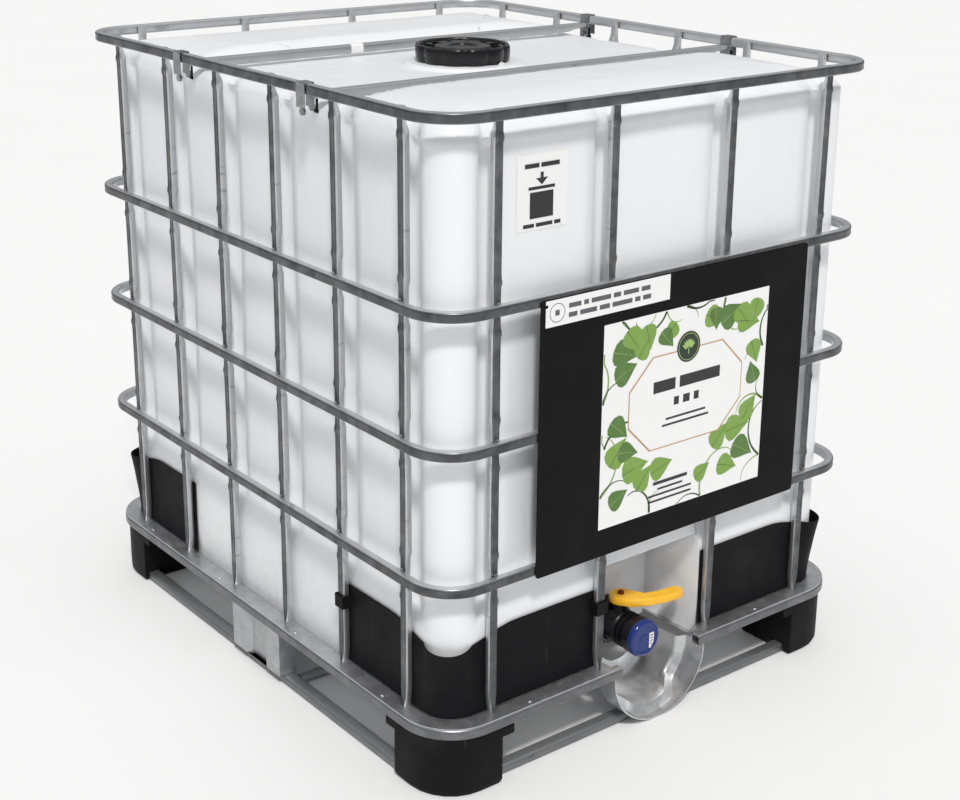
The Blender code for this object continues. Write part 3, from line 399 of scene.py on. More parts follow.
def zinc_sheet(name, light, dark, stain):
    """Hot-dipped sheet: soft spangle, rolling streaks and dull oxide patches."""
    zinc = Finish(name, Metallic=0.85)
    spangle = zinc.crystals(75.0)
    patches = zinc.cloud(11.0, 5.0, warp=0.7)
    fine = zinc.cloud(320.0, 3.0)
    streak = zinc.cloud(36.0, 4.0, stretch=(1, 0.15, 1))
    tone = zinc.blend((spangle * 0.5 + patches * 0.6 - 0.05).held(), dark, light)
    tone = zinc.blend(zinc.between(zinc.cloud(6.0, 6.0), 0.50, 0.74) * stain, tone, (0.36, 0.33, 0.28))
    zinc.relief(patches * 0.8 + spangle * 0.12 + fine * 0.1, 0.0016, 0.4)
    return zinc.done(Base_Color=tone, Roughness=(spangle * 0.14 + patches * 0.2 + streak * 0.1 + 0.16).held())


LEG_ZINC = zinc_sheet("leg_zinc", (0.58, 0.59, 0.60), (0.30, 0.31, 0.33), 0.3)
for leg in ("side_leg_left", "side_leg_right", "rear_leg"):
    sheet = put(f"{leg}_sheet", merged_copy(leg), LEG_ZINC, [leg])
    ease_edges(sheet, 0.0012)

# ---------------------------------------------------------------- valve trough
# Half-round pressed sheet under the valve: a flat front strip, a bend, and a dish behind it.
# It is welded to the cut ends of the pallet tube and also serves as the front leg.

TROUGH_AXIS, STRIP_SPREAD = 0.1117, 0.027
trough_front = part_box("valve_trough")[0].y


def walled(piece, name, thickness, offset=-1.0):
    """Gives an open sheet its thickness."""
    wall = piece.modifiers.new(name, "SOLIDIFY")
    wall.thickness = thickness
    wall.offset = offset


TROUGH_ZINC = zinc_sheet("trough_zinc", (0.76, 0.77, 0.78), (0.50, 0.51, 0.53), 0.22)
trough = bmesh.new()
profile = [(0.1105, 0.0), (0.1105, 0.0165), (0.1090, 0.0192), (0.0950, 0.0240), (0.0925, 0.0262)]
profile += [(0.0915, 0.060), (0.0900, 0.100), (0.0880, 0.1135), (0.0840, 0.1175), (0.0480, 0.1178)]
edges = strung(trough, [(-r, trough_front + y, TROUGH_AXIS) for r, y in profile], closed=False)
turned(trough, edges, (0, 0, TROUGH_AXIS), (0, -1, 0), math.pi, 48)
for vert in trough.verts:
    if 0.016 < vert.co.y - trough_front < 0.027:
        from_bottom = math.degrees(math.atan2(abs(vert.co.x), TROUGH_AXIS - vert.co.z))
        vert.co.y += STRIP_SPREAD * min(1.0, max(0.0, (from_bottom - 25) / 20))
for vert in trough.verts:
    if vert.co.y > trough_front + 0.02:
        dent = noise.noise(vert.co * 34) * 0.0016
        vert.co += Vector((vert.co.x, 0, vert.co.z - TROUGH_AXIS)).normalized() * (dent - 0.0016)
bmesh.ops.reverse_faces(trough, faces=trough.faces)
trough_piece = put("trough_sheet", trough, TROUGH_ZINC, ["valve_trough"], turn=False,
    sharp=50)
walled(trough_piece, "sheet", 0.0022, 0.0)

# ---------------------------------------------------------------- pallet tube and deck
# The lowest cage tube runs round the pallet and stops short on both sides of the valve.
# A pressed galvanised pan lies on it: a coved flange with folded edges, and a floor for the bottle.

PALLET_X, PALLET_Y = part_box("pallet_tube")[1].x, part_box("pallet_tube")[1].y
PALLET_CORNER, PALLET_LOW, TUBE_GAP = 0.100, 0.1120, 0.190
pallet_tube = round_the_corners(
    rounded_section(0.020, 0.0203, 0.0055,
        0.0008), PALLET_X, PALLET_Y, PALLET_CORNER, PALLET_LOW, 18, TUBE_GAP / 2
)
RIM_ZINC = zinc_tube("pallet_zinc", (0.62, 0.63, 0.65), (0.13, 0.135, 0.145), 0.19, 0.25)
pallet_piece = put("pallet_round_tube", pallet_tube, RIM_ZINC, ["pallet_tube"])
walled(pallet_piece, "tube_wall", 0.0018)

deck_profile = [(0.0015, 0.1328), (0.0015, 0.1345), (0.0030, 0.1346), (0.0300, 0.1346), (0.0335, 0.1340)]
deck_profile += [(0.0362, 0.1318), (0.0415, 0.1225), (0.0440, 0.1185), (0.0475, 0.1158), (0.0520, 0.1145),
    (0.0600, 0.1142)]
deck = round_the_corners(deck_profile, 0.5, 0.6, PALLET_CORNER, 0.0, 18, closed=False)
FLOOR_TOP = 0.1143
inner = [edge for edge in deck.edges if edge.is_boundary]
inner = [edge for edge in inner if all(vert.co.z < FLOOR_TOP for vert in edge.verts)]
bmesh.ops.contextual_create(deck, geom=inner)
notch = 0.112
for place, way in (((notch, 0, 0), (1, 0, 0)), ((-notch, 0, 0), (-1, 0, 0)), ((0, -0.424, 0), (0, 1, 0))):
    parts = deck.verts[:] + deck.edges[:] + deck.faces[:]
    bmesh.ops.bisect_plane(deck, geom=parts, dist=1e-6, plane_co=place, plane_no=way)
gone = [f for f in deck.faces if abs(f.calc_center_median().x) < notch and f.calc_center_median().y < -0.424]
bmesh.ops.delete(deck, geom=gone, context="FACES")
DECK_ZINC = zinc_sheet("deck_zinc", (0.72, 0.73, 0.75), (0.40, 0.41, 0.43), 0.25)
deck_piece = put("deck_sheet", deck, DECK_ZINC, ["deck_pan"], sharp=60)
walled(deck_piece, "sheet", 0.0016)

# Round-headed rivets hold the flange down on the tube beside each foot of an upright.
upright_xs = [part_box(f"upright_front_{i}")[0].x / 2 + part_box(f"upright_front_{i}")[1].x / 2 for i in (1, 2,
    3, 4)]
upright_ys = [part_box(f"upright_left_{i}")[0].y / 2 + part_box(f"upright_left_{i}")[1].y / 2 for i in range(1,
    7)]


def dome(bm, place, radius, high, way="Z"):
    """Adds one low round head standing on a surface."""
    made = bmesh.ops.create_uvsphere(bm, u_segments=14, v_segments=8, radius=1.0)["verts"]
    size = {"Z": (radius, radius, high), "Y": (radius, high, radius), "X": (high, radius, radius)}[way]
    bmesh.ops.scale(bm, vec=size, verts=made)
    bmesh.ops.translate(bm, vec=place, verts=made)
    return made


rivets = bmesh.new()
for side in (-1, 1):
    for along in (-0.30, 0.255):
        dome(rivets, (along, side * 0.5875, 0.1346), 0.0042, 0.0018)
    for along in (-0.42, -0.14, 0.14, 0.42):
        dome(rivets, (side * 0.4875, along, 0.1346), 0.0042, 0.0018)
put("deck_rivets", rivets, DECK_ZINC)

# ---------------------------------------------------------------- rings and rim
# Four closed rings of galvanised tube, drawn to a soft rectangle: three round the bottle and the rim.
# They are welded to the outer face of every upright, which leaves small silver beads.

CAGE_X, CAGE_Y, CAGE_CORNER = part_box("top_rim")[1].x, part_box("top_rim")[1].y, 0.085
# Light tone for the flanks as a painted reflection; dark tone as painted shade on the outward faces.
CAGE_ZINC = zinc_tube("cage_zinc", (0.64, 0.65, 0.66), (0.050, 0.053, 0.058), 0.18, 0.18)
ring_middles = []
for ring in ("top_rim", "upper_ring", "middle_ring", "lower_ring"):
    low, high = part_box(ring)
    ring_middles.append((low.z + high.z) / 2)
    tube = round_the_corners(
        rounded_section(0.016, high.z - low.z, 0.0042, 0.0007), CAGE_X, CAGE_Y, CAGE_CORNER, low.z, 16
    )
    for vert in tube.verts:
        vert.co.z += noise.noise(Vector((vert.co.x * 5, vert.co.y * 5, low.z * 9))) * 0.0007
    put(f"{ring}_tube", tube, CAGE_ZINC, [ring])

beads = bmesh.new()


def bead(bm, place, size):
    made = bmesh.ops.create_icosphere(bm, subdivisions=1, radius=1.0)["verts"]
    bmesh.ops.scale(bm, vec=size, verts=made)
    bmesh.ops.translate(bm, vec=place, verts=made)


for middle in ring_middles[1:]:
    for end in (-1, 1):
        for x in upright_xs:
            for side in (-1, 1):
                bead(beads, (x + 0.002 * end, side * 0.5815, middle + end * 0.0088), (0.0052, 0.0016, 0.0013))
        for y in upright_ys:
            for side in (-1, 1):
                bead(beads, (side * 0.4815, y + 0.002 * end, middle + end * 0.0088), (0.0016, 0.0052, 0.0013))
BEAD_ZINC = zinc_tube("weld_bright", (0.70, 0.70, 0.71), (0.45, 0.45, 0.46), 0.30, 0.1)
put("weld_beads", beads, BEAD_ZINC)

# ---------------------------------------------------------------- uprights
# Twenty galvanised tubes stand inside the rings. Each is squeezed flat where a ring crosses it,
# which leaves a small bulge above and below, flattened under the rim and pinched at its foot.

UPRIGHT_LOW, UPRIGHT_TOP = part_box("upright_front_1")[0].z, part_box("upright_front_1")[1].z


def upright_tube(seed):
    """One upright standing at x 0 with its outer face on the plane y 0."""
    bm = bmesh.new()
    half, deep = 0.009, 0.016
    section = [(-half, 0.0042), (-half + 0.0012, 0.0015), (-half + 0.0040, 0.0), (-0.0022, 0.0006),
        (0.0022, 0.0006)]
    section += [(half - 0.0040, 0.0), (half - 0.0012, 0.0015), (half, 0.0042), (half - 0.0008, 0.0085)]
    section += [(half - 0.0014, 0.0125), (half - 0.0034, deep - 0.0008), (half - 0.0055, deep)]
    section += [(-half + 0.0055, deep), (-half + 0.0034, deep - 0.0008), (-half + 0.0014, 0.0125),
        (-half + 0.0008, 0.0085)]
    edges = strung(bm, [(run, inset, 0.0) for run, inset in section])
    # each station: height, share of the face, share of the depth, bulge
    stations = [(UPRIGHT_LOW, 0.42, 0.95, 0.0), (UPRIGHT_LOW + 0.006, 0.50, 0.95, 0.0)]
    stations += [(UPRIGHT_LOW + 0.018, 0.80, 0.97, 0.0), (UPRIGHT_LOW + 0.034, 1.0, 1.0, 0.0)]
    for middle in sorted(ring_middles[1:]):
        for sign in (-1, 1):
            spots = ((0.058, 1.0, 1.0, 0.0), (0.048, 1.02, 1.0, 0.3), (0.044, 1.12, 1.0, 1.0),
                (0.038, 1.12, 1.0, 1.0))
            spots += ((0.034, 1.0, 0.96, 0.2), (0.028, 0.92, 0.86, 0.0), (0.014, 0.90, 0.84, 0.0))
            stations += [(middle + sign * off, face, depth, swell) for off, face, depth, swell in spots]
    stations += [(UPRIGHT_TOP - 0.052, 1.0, 1.0, 0.0), (UPRIGHT_TOP - 0.046, 1.12, 1.0, 1.0)]
    stations += [(UPRIGHT_TOP - 0.040, 1.10, 1.0, 0.9), (UPRIGHT_TOP - 0.035, 0.96, 0.92, 0.0)]
    stations += [(UPRIGHT_TOP - 0.026, 0.92, 0.66, 0.0), (UPRIGHT_TOP, 0.95, 0.60, 0.0)]
    stations.sort()
    bmesh.ops.translate(bm, vec=(0, 0, stations[0][0]), verts=bm.verts)
    for (below, *_), (above, *_) in zip(stations, stations[1:]):
        edges = carried(bm, edges, (0, 0, above - below))
    bmesh.ops.holes_fill(bm, edges=[edge for edge in bm.edges if edge.is_boundary], sides=0)
    for vert in bm.verts:
        place, face, depth, swell = min(stations, key=lambda station: abs(station[0] - vert.co.z))
        vert.co.x *= face
        vert.co.y *= depth
        if swell and vert.co.y < 0.005:
            vert.co.y -= 0.0016 * swell * (1 - vert.co.y / 0.005)
        vert.co.x += noise.noise(Vector((seed, 0, vert.co.z * 3))) * 0.0008
    return bm


def stand(bm, side, along):
    """Turns and moves an upright to its place in one of the four walls."""
    turns = {"front": 0, "rear": 180, "left": -90, "right": 90}
    spots = {"front": (along, -0.5812), "rear": (along, 0.5812), "left": (-0.4812, along),
        "right": (0.4812, along)}
    bmesh.ops.rotate(bm, cent=(0, 0, 0), matrix=Matrix.Rotation(math.radians(turns[side]), 3, "Z"),
        verts=bm.verts)
    bmesh.ops.translate(bm, vec=(*spots[side], 0), verts=bm.verts)
    return bm


for side, places in (("front", upright_xs), ("rear", upright_xs), ("left", upright_ys),
    ("right", upright_ys)):
    for i, along in enumerate(places, 1):
        name = f"upright_{side}_{i}"
        tube = stand(upright_tube(i * 7.3 + len(side)), side, along)
        put(f"{name}_tube", tube, CAGE_ZINC, [name], sharp=32)

# ---------------------------------------------------------------- corner protectors
# A black moulded sheet wraps each lower corner behind the uprights and flares out at the corner.
# Hooks at its ends clip round an upright, except two that are not fitted; the bottle's corner
# bulges over its top edge.

PROTECTOR_X, PROTECTOR_Y = 0.4649, 0.5649
PROTECTOR_BLACK = black_moulding("protector_black", (0.0060, 0.0062, 0.0075), 0.46, 0.07)


def smooth_share(value, low, high):
    share = min(1.0, max(0.0, (value - low) / (high - low)))
    return share * share * (3 - 2 * share)


def near_corner(x, y, near, far):
    """1 at a corner of the bottle, 0 further from it than far."""
    away = math.hypot(abs(x) - 0.4795, abs(y) - 0.5795)
    return 1.0 - smooth_share(away, near, far)


def thicken(bm, faces, step):
    """Draws flat faces out into a solid by one straight step."""
    grown = bmesh.ops.extrude_face_region(bm, geom=faces, use_keep_orig=True)["geom"]
    moved = [item for item in grown if isinstance(item, bmesh.types.BMVert)]
    bmesh.ops.translate(bm, vec=step, verts=moved)
    return moved


def prism(bm, outline, low, high):
    """A flat outline of (x, y) points raised between two heights."""
    face = bm.faces.new([bm.verts.new((x, y, low)) for x, y in outline])
    return thicken(bm, [face], (0, 0, high - low))


def protector(sign_x, sign_y):
    bm = bmesh.new()
    side_end, front_end = upright_ys[1] - 0.013, upright_xs[2] - 0.010
    radius = 0.060
    path = [(PROTECTOR_X, side_end + t * (PROTECTOR_Y - radius - side_end) / 14) for t in range(14)]
    path += [
        (PROTECTOR_X - radius + radius * math.cos(a), PROTECTOR_Y - radius + radius * math.sin(a))
        for a in [math.pi / 2 * i / 12 for i in range(13)]
    ]
    path += [(PROTECTOR_X - radius - t * (PROTECTOR_X - radius - front_end) / 14,
        PROTECTOR_Y) for t in range(1, 15)]
    edges = strung(bm, [(x, y, 0.0) for x, y in path], closed=False)
    rows = 14
    for i in range(rows):
        edges = carried(bm, edges, (0, 0, 1.0 / rows))
    for vert in bm.verts:
        share = vert.co.z
        top = 0.284 - 0.026 * near_corner(vert.co.x, vert.co.y, 0.03, 0.17)
        centre = Vector((PROTECTOR_X - radius, PROTECTOR_Y - radius, 0))
        away = Vector((max(vert.co.x - centre.x, 0), max(vert.co.y - centre.y, 0), 0))
        if away.x > 0 and away.y > 0:
            turn = 2 * math.atan2(away.y, away.x)
            vert.co += away.normalized() * (0.018 * math.sin(turn) * share ** 1.3)
        wave = noise.noise(Vector((vert.co.x * 9, vert.co.y * 9, share * 2 + sign_x + 3 * sign_y))) * 0.0012
        vert.co -= away.normalized() * (abs(wave) if away.length else 0)
        vert.co.z = UPRIGHT_LOW + (top - UPRIGHT_LOW) * share
    for vert in bm.verts:
        vert.co.x *= sign_x
        vert.co.y *= sign_y
    bmesh.ops.recalc_face_normals(bm, faces=bm.faces)
    sample = max(bm.faces, key=lambda face: face.calc_center_median().y * sign_y)
    if sample.normal.y * sign_y < 0:
        bmesh.ops.reverse_faces(bm, faces=bm.faces)
    return bm


def hook(bm, middle, root, face, along_x, sign):
    """C-shaped clip round an upright, with a raised ear on its outer end."""
    clear, wide = 0.0093, 0.0123
    outline = [(-wide, root), (-clear, root), (-clear, face), (clear, face), (clear, root), (wide, root)]
    outline += [(wide, face + 0.003), (-wide, face + 0.003)]
    before = set(bm.verts)
    points = [((middle + run, sign * out) if along_x else (sign * out, middle + run)) for run, out in outline]
    prism(bm, points, 0.243, 0.262)
    made = [vert for vert in bm.verts if vert not in before]
    for vert in made:
        if vert.co.z > 0.25:
            run = (vert.co.x if along_x else vert.co.y) - middle
            vert.co.z += 0.006 if abs(run) > 0.011 else 0.0


for name, sign_x, sign_y in (
    ("front_left", -1, -1), ("front_right", 1, -1), ("rear_left", -1, 1), ("rear_right", 1, 1)
):
    piece = put(
        f"protector_sheet_{name}", protector(sign_x, sign_y), PROTECTOR_BLACK,
        [f"corner_protector_{name}"], turn=False,
    )
    walled(piece, "sheet", 0.0028)
    ease_edges(piece, 0.0008, 2, 40)
    clips = bmesh.new()
    if name != "front_right":
        hook(clips, sign_x * upright_xs[2], 0.5640, 0.5815, True, sign_y)
    if name != "rear_left":
        hook(clips, sign_y * upright_ys[1], 0.4640, 0.4815, False, sign_x)
    ease_edges(put(f"protector_hooks_{name}", clips, PROTECTOR_BLACK), 0.0009, 2)

# ---------------------------------------------------------------- bottle
# Blow-moulded white polyethylene, about 3.5 mm thick, grooved behind each upright and billowing between.
# Its lower front has the valve pocket, its top a low saddle with the threaded neck in the middle.

bottle_low, bottle_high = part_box("bottle")
BOTTLE_X, BOTTLE_Y, BOTTLE_CORNER = bottle_high.x, bottle_high.y, 0.068
SADDLE_Z = 1.1205
SHOULDER_Z, POCKET_HALF, POCKET_BACK = 1.040, 0.122, -0.430


def milky_plastic():
    """Natural white polyethylene: satin, faintly blue in its thin folds, with dusty traces low down."""
    milk = Finish("milky_hdpe", Specular_IOR_Level=0.5)
    broad = milk.cloud(3.2, 4.0, stretch=(1, 1, 0.45), warp=0.5)
    fine = milk.cloud(55.0, 4.0)
    pores = milk.cloud(700.0, 2.0)
    flow = milk.cloud(16.0, 3.0, stretch=(1, 1, 0.18), warp=0.7)
    colour = milk.blend((broad * 1.1 - 0.05).held(), (0.80, 0.825, 0.865), (0.885, 0.89, 0.895))
    colour = milk.blend(milk.between(flow, 0.56, 0.80) * 0.30, colour, (0.74, 0.765, 0.81))
    low = milk.between(milk.height(), 0.34, 0.12) * milk.between(fine, 0.40, 0.75)
    colour = milk.blend(low * 0.30, colour, (0.66, 0.62, 0.54))
    milk.relief(broad * 1.6 + flow * 0.9 + fine * 0.10 + pores * 0.02, 0.005, 0.45)
    return milk.done(Base_Color=colour, Roughness=(fine * 0.12 + flow * 0.14 + 0.26).held())


def runs(places, half):
    """Stops along one wall: the groove edges at every upright and a few between."""
    stops = [-half, half]
    for place in places:
        stops += [place - 0.024, place - 0.018, place - 0.0125, place, place + 0.0125, place + 0.018,
            place + 0.024]
    stops.sort()
    filled = []
    for left, right in zip(stops, stops[1:]):
        parts = max(1, round((right - left) / 0.021))
        filled += [left + (right - left) * i / parts for i in range(parts)]
    return filled


def groove_depth(run, places):
    away = min(abs(run - place) for place in places)
    return 0.0158 * (1.0 - smooth_share(away, 0.0120, 0.0245))


def billow(run, places, end):
    """How far a bay's wall falls back towards its groove edges."""
    stops = sorted([-end, *places, end])
    for left, right in zip(stops, stops[1:]):
        if left <= run <= right:
            share = 2 * (run - left) / (right - left) - 1
            if left == -end:
                share = max(0.0, share)
            if right == end:
                share = min(0.0, share)
            return 0.0042 * abs(share) ** 3
    return 0.0


def top_height(x, y):
    """Height of the bottle's top: a dome with rolled shoulders, cut by the low saddle."""
    gap_x, gap_y = BOTTLE_X - abs(x), BOTTLE_Y - abs(y)
    inside = min(gap_x, gap_y)
    if max(gap_x, gap_y) < BOTTLE_CORNER:
        inside = BOTTLE_CORNER - math.hypot(BOTTLE_CORNER - gap_x, BOTTLE_CORNER - gap_y)
    steps = ((0.0, 0.0), (0.008, 0.050), (0.024, 0.080), (0.048, 0.0945), (0.080, 0.1015), (0.115, 0.1065),
        (0.155, 0.1100))
    rise = 0.110
    for (d0, h0), (d1, h1) in zip(steps, steps[1:]):
        if inside < d1:
            rise = h0 + (h1 - h0) * max(0.0, inside - d0) / (d1 - d0)
            break
    dome_z = SHOULDER_Z + rise - 0.0015 * (1 + noise.noise(Vector((x * 5, y * 5, 3.0))))
    slope = max(0.0, -0.246 - y, y - 0.219)
    saddle_z = SADDLE_Z + slope * 0.66 - 0.0008 * (1 + noise.noise(Vector((x * 7, y * 7, 8.0))))
    soft = 0.007
    mix = min(1.0, max(0.0, 0.5 + 0.5 * (saddle_z - dome_z) / soft))
    return saddle_z * (1 - mix) + dome_z * mix - soft * mix * (1 - mix)


def moulded(spot):
    """Where a point of the plain round-cornered wall goes on the moulded one."""
    x, y, z = spot
    flat_x, flat_y = BOTTLE_X - BOTTLE_CORNER, BOTTLE_Y - BOTTLE_CORNER
    away = Vector((math.copysign(max(abs(x) - flat_x, 0), x), math.copysign(max(abs(y) - flat_y, 0), y), 0))
    out = away.normalized()
    tip = near_corner(x, y, 0.03, 0.17)
    foot_top, foot_run = 0.292 - 0.028 * tip, 0.060 - 0.040 * tip
    inset = 0.0195 * (1 - smooth_share(z, foot_top, foot_top + foot_run))
    inset = max(inset, 0.055 - 0.030 * smooth_share(z - bottle_low.z, 0.0, 0.010) - 0.0055 * smooth_share(z,
        0.12, 0.18))
    if z > SHOULDER_Z:
        share = min(1.0, (z - SHOULDER_Z) / 0.080)
        inset = max(inset, 0.024 * (1 - math.sqrt(max(0.0, 1 - share ** 2.2))))
    grooved = smooth_share(z, foot_top + 0.01, foot_top + foot_run + 0.02) * (1 - smooth_share(z, 1.095,
        1.125))
    on_side = abs(out.x) > 0.999
    on_end = abs(out.y) > 0.999
    sink = 0.0
    if on_side:
        sink = max(groove_depth(y, upright_ys), billow(y, upright_ys, flat_y))
    elif on_end:
        sink = max(groove_depth(x, upright_xs), billow(x, upright_xs, flat_x))
    crease = noise.noise(Vector((x * 5.5 + z * 1.4, y * 5.5 + z * 1.6, z * 1.3)))
    fold = noise.noise(Vector((x * 17 + z * 1.5, y * 17 - z * 1.2, z * 1.1 + 5)))
    wave = 0.0052 * (0.5 + 0.5 * crease) * (0.7 + 1.2 * out.x ** 2) + 0.0016 * (0.5 + 0.5 * fold)
    wave *= smooth_share(z, foot_top, foot_top + 0.08) * (1 - near_corner(x, y, 0.06, 0.16))
    depth = inset + grooved * sink + wave
    moved = Vector((x, y, z)) - out * depth
    if y < 0 and out.y < -0.5:
        side = 1 - smooth_share(abs(x), POCKET_HALF - 0.004, POCKET_HALF + 0.004)
        roof = min(1.0, max(0.0, (0.330 - z) / 0.095))
        back = -BOTTLE_Y + 0.1495 * side * (roof ** 0.92)
        moved.y = max(moved.y, back)
    if z > 1.118:
        moved.z = min(moved.z, top_height(moved.x, moved.y) + 0.002)
    return moved


bottle = bmesh.new()
flat_x, flat_y = BOTTLE_X - BOTTLE_CORNER, BOTTLE_Y - BOTTLE_CORNER
pocket_stops = [-0.128, -0.1245, -0.121, -0.1165, 0.1165, 0.121, 0.1245, 0.128]
front_runs = sorted(runs(upright_xs, flat_x) + pocket_stops)
rear_runs, side_runs = runs(upright_xs, flat_x), runs(upright_ys, flat_y)


def bend(sign_x, sign_y, start):
    """Stops round one corner of the bottle, the start given in quarter turns."""
    turns = [math.pi / 2 * (start + i / 9) for i in range(9)]
    middle_x, middle_y = sign_x * flat_x, sign_y * flat_y
    return [(middle_x + BOTTLE_CORNER * math.cos(a), middle_y + BOTTLE_CORNER * math.sin(a)) for a in turns]


path = [(run, -BOTTLE_Y) for run in front_runs] + bend(1, -1, -1)
path += [(BOTTLE_X, run) for run in side_runs] + bend(1, 1, 0)
path += [(-run, BOTTLE_Y) for run in rear_runs] + bend(-1, 1, 1)
path += [(-BOTTLE_X, -run) for run in side_runs] + bend(-1, -1, 2)
edges = strung(bottle, [(x, y, bottle_low.z) for x, y in path])
lowest = edges
levels = [0.004, 0.008, 0.014, 0.022, 0.035, 0.06, 0.09, 0.1207, 0.125, 0.135, 0.143, 0.150, 0.157, 0.164,
    0.171, 0.178, 0.185]
levels += [0.192, 0.199, 0.206, 0.213, 0.2157, 0.219, 0.226, 0.236, 0.248]
levels += [0.26 + 0.030 * i for i in range(23)] + [0.925 + 0.0095 * i for i in range(9)]
height = bottle_low.z
for level in levels:
    step = bottle_low.z + level - height
    edges = carried(bottle, edges, (0, 0, step))
    height += step
for vert in list(bottle.verts):
    vert.co = moulded(vert.co)
rings = 30
for i in range(rings):
    edges, ring = next_ring(bottle, edges)
    for vert in ring:
        reach = math.hypot(vert.co.x, vert.co.y)
        share = (reach + (0.118 - reach) / (rings - i)) / reach
        vert.co.x *= share
        vert.co.y *= share
        vert.co.z = top_height(vert.co.x, vert.co.y)
for radius, high in ((0.114, 0.0006), (0.1115, 0.0042), (0.108, 0.0052), (0.088, 0.0056), (0.081, 0.0062),
    (0.0785, 0.0090),
                     (0.0780, 0.0270), (0.0770, 0.0277), (0.0730, 0.0277), (0.0720, 0.0268), (0.0720, 0.002)):
    edges, ring = next_ring(bottle, edges)
    for vert in ring:
        reach = math.hypot(vert.co.x, vert.co.y)
        vert.co.x *= radius / reach
        vert.co.y *= radius / reach
        vert.co.z = SADDLE_Z + high
bmesh.ops.contextual_create(bottle, geom=lowest)
bmesh.ops.recalc_face_normals(bottle, faces=bottle.faces)
MILKY = milky_plastic()
bottle_piece = put("bottle_shell", bottle, MILKY, ["bottle"], sharp=62, turn=False)
walled(bottle_piece, "moulded_wall", 0.0034)

# The outlet boss is welded on the back of the pocket, behind the union nut.
VALVE_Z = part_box("valve_union_nut")[0].z / 2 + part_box("valve_union_nut")[1].z / 2


def lathe(bm, profile, centre, way="Y", steps=48, closed=False):
    """Spins (radius, along) points once round an axis through the centre."""
    axis = Vector((0, 1, 0)) if way == "Y" else Vector((0, 0, 1))
    centre = Vector(centre)
    before = set(bm.verts)
    verts = [bm.verts.new(centre + Vector((max(r, 1e-6), 0, 0)) + axis * along) for r, along in profile]
    pairs = list(zip(verts, verts[1:])) + ([(verts[-1], verts[0])] if closed else [])
    edges = [bm.edges.new(pair) for pair in pairs]
    bmesh.ops.spin(bm, geom=verts + edges, cent=centre, axis=axis, angle=2 * math.pi, steps=steps,
        use_merge=True)
    made = [vert for vert in bm.verts if vert not in before]
    bmesh.ops.remove_doubles(bm, verts=made, dist=2e-6)
    return [vert for vert in bm.verts if vert not in before]


boss = bmesh.new()
lathe(boss, [(0.0215, -0.4525), (0.0325, -0.4525), (0.0333, -0.4515), (0.0333, -0.436), (0.038, -0.4305),
    (0.0215, -0.428)], (0, 0, VALVE_Z), closed=True)
put("outlet_boss", boss, MILKY)

# A white sticker with plain stacking signs: a load block, an arrow and bars in place of words.


def printed_sheet(name, colour, rough=0.4, wear=0.15):
    """Printed film: even ink with faint mottling and rubbed corners."""
    film = Finish(name, Specular_IOR_Level=0.5)
    mottle = film.cloud(45.0, 4.0)
    fine = film.cloud(600.0, 2.0)
    paler = tuple(min(1.0, part * 0.85 + 0.12) for part in colour)
    tone = film.blend((film.between(mottle, 0.45, 0.80) * wear).held(), colour, paler)
    tone = film.blend((fine * 0.10).held(), tone, tuple(part * 0.7 for part in colour))
    film.relief(mottle * 0.5 + fine * 0.1, 0.0006, 0.25)
    return film.done(Base_Color=tone, Roughness=(mottle * 0.15 + rough).held())


PAPER_WHITE = printed_sheet("paper_white", (0.90, 0.90, 0.89), 0.35)
INK_BLACK = printed_sheet("ink_black", (0.015, 0.015, 0.016), 0.35)


def flat_shape(bm, outline, y, thick):
    """A thin printed shape standing at y, from (x, z) points, looking forward."""
    face = bm.faces.new([bm.verts.new((x, y, z)) for x, z in outline])
    thicken(bm, [face], (0, -thick, 0))


def flat_box(bm, x0, z0, x1, z1, y, thick=0.0002):
    flat_shape(bm, [(x0, z0), (x1, z0), (x1, z1), (x0, z1)], y, thick)


def laid_on_wall(bm, lift):
    """Moves a thin shape, drawn at y 0, onto the front wall of the bottle."""
    for vert in bm.verts:
        vert.co.y += moulded(Vector((vert.co.x, -BOTTLE_Y, vert.co.z))).y - lift


sticker = bmesh.new()
bmesh.ops.create_grid(sticker, x_segments=10, y_segments=10, size=0.5)
bmesh.ops.rotate(sticker, cent=(0, 0, 0), matrix=Matrix.Rotation(math.pi / 2, 3, "X"), verts=sticker.verts)
bmesh.ops.scale(sticker, vec=(0.103, 1, 0.122), verts=sticker.verts)
bmesh.ops.translate(sticker, vec=(-0.2685, 0, 1.012), verts=sticker.verts)
laid_on_wall(sticker, 0.0008)
sticker_piece = put("stacking_sticker", sticker, PAPER_WHITE)
walled(sticker_piece, "film", 0.0003)
signs = bmesh.new()
flat_box(signs, -0.294, 0.970, -0.246, 1.012, 0)
flat_box(signs, -0.297, 1.016, -0.243, 1.021, 0)
flat_shape(signs, [(-0.270, 1.023), (-0.258, 1.034), (-0.282, 1.034)], 0, 0.0002)
flat_box(signs, -0.273, 1.034, -0.267, 1.043, 0)
flat_box(signs, -0.305, 1.051, -0.276, 1.058, 0)
flat_box(signs, -0.272, 1.051, -0.234, 1.058, 0)
for start, end in ((-0.307, -0.285), (-0.281, -0.247), (-0.243, -0.230)):
    flat_box(signs, start, 0.956, end, 0.962, 0)
laid_on_wall(signs, 0.0012)
put("stacking_signs", signs, INK_BLACK)

# ---------------------------------------------------------------- crossbars and their brackets
# Two flattened tubes lie in the saddle over the bottle. At each end a folded sheet bracket hangs on
# the rim, a hexagon bolt holds the bar's end up to it, and a black strap keeps the bolt from turning.

BAR_ZINC = zinc_tube("bar_zinc", (0.50, 0.51, 0.52), (0.070, 0.073, 0.078), 0.22, 0.2)
CLIP_ZINC = zinc_sheet("clip_zinc", (0.46, 0.47, 0.48), (0.10, 0.105, 0.11), 0.1)
bolts = bmesh.new()


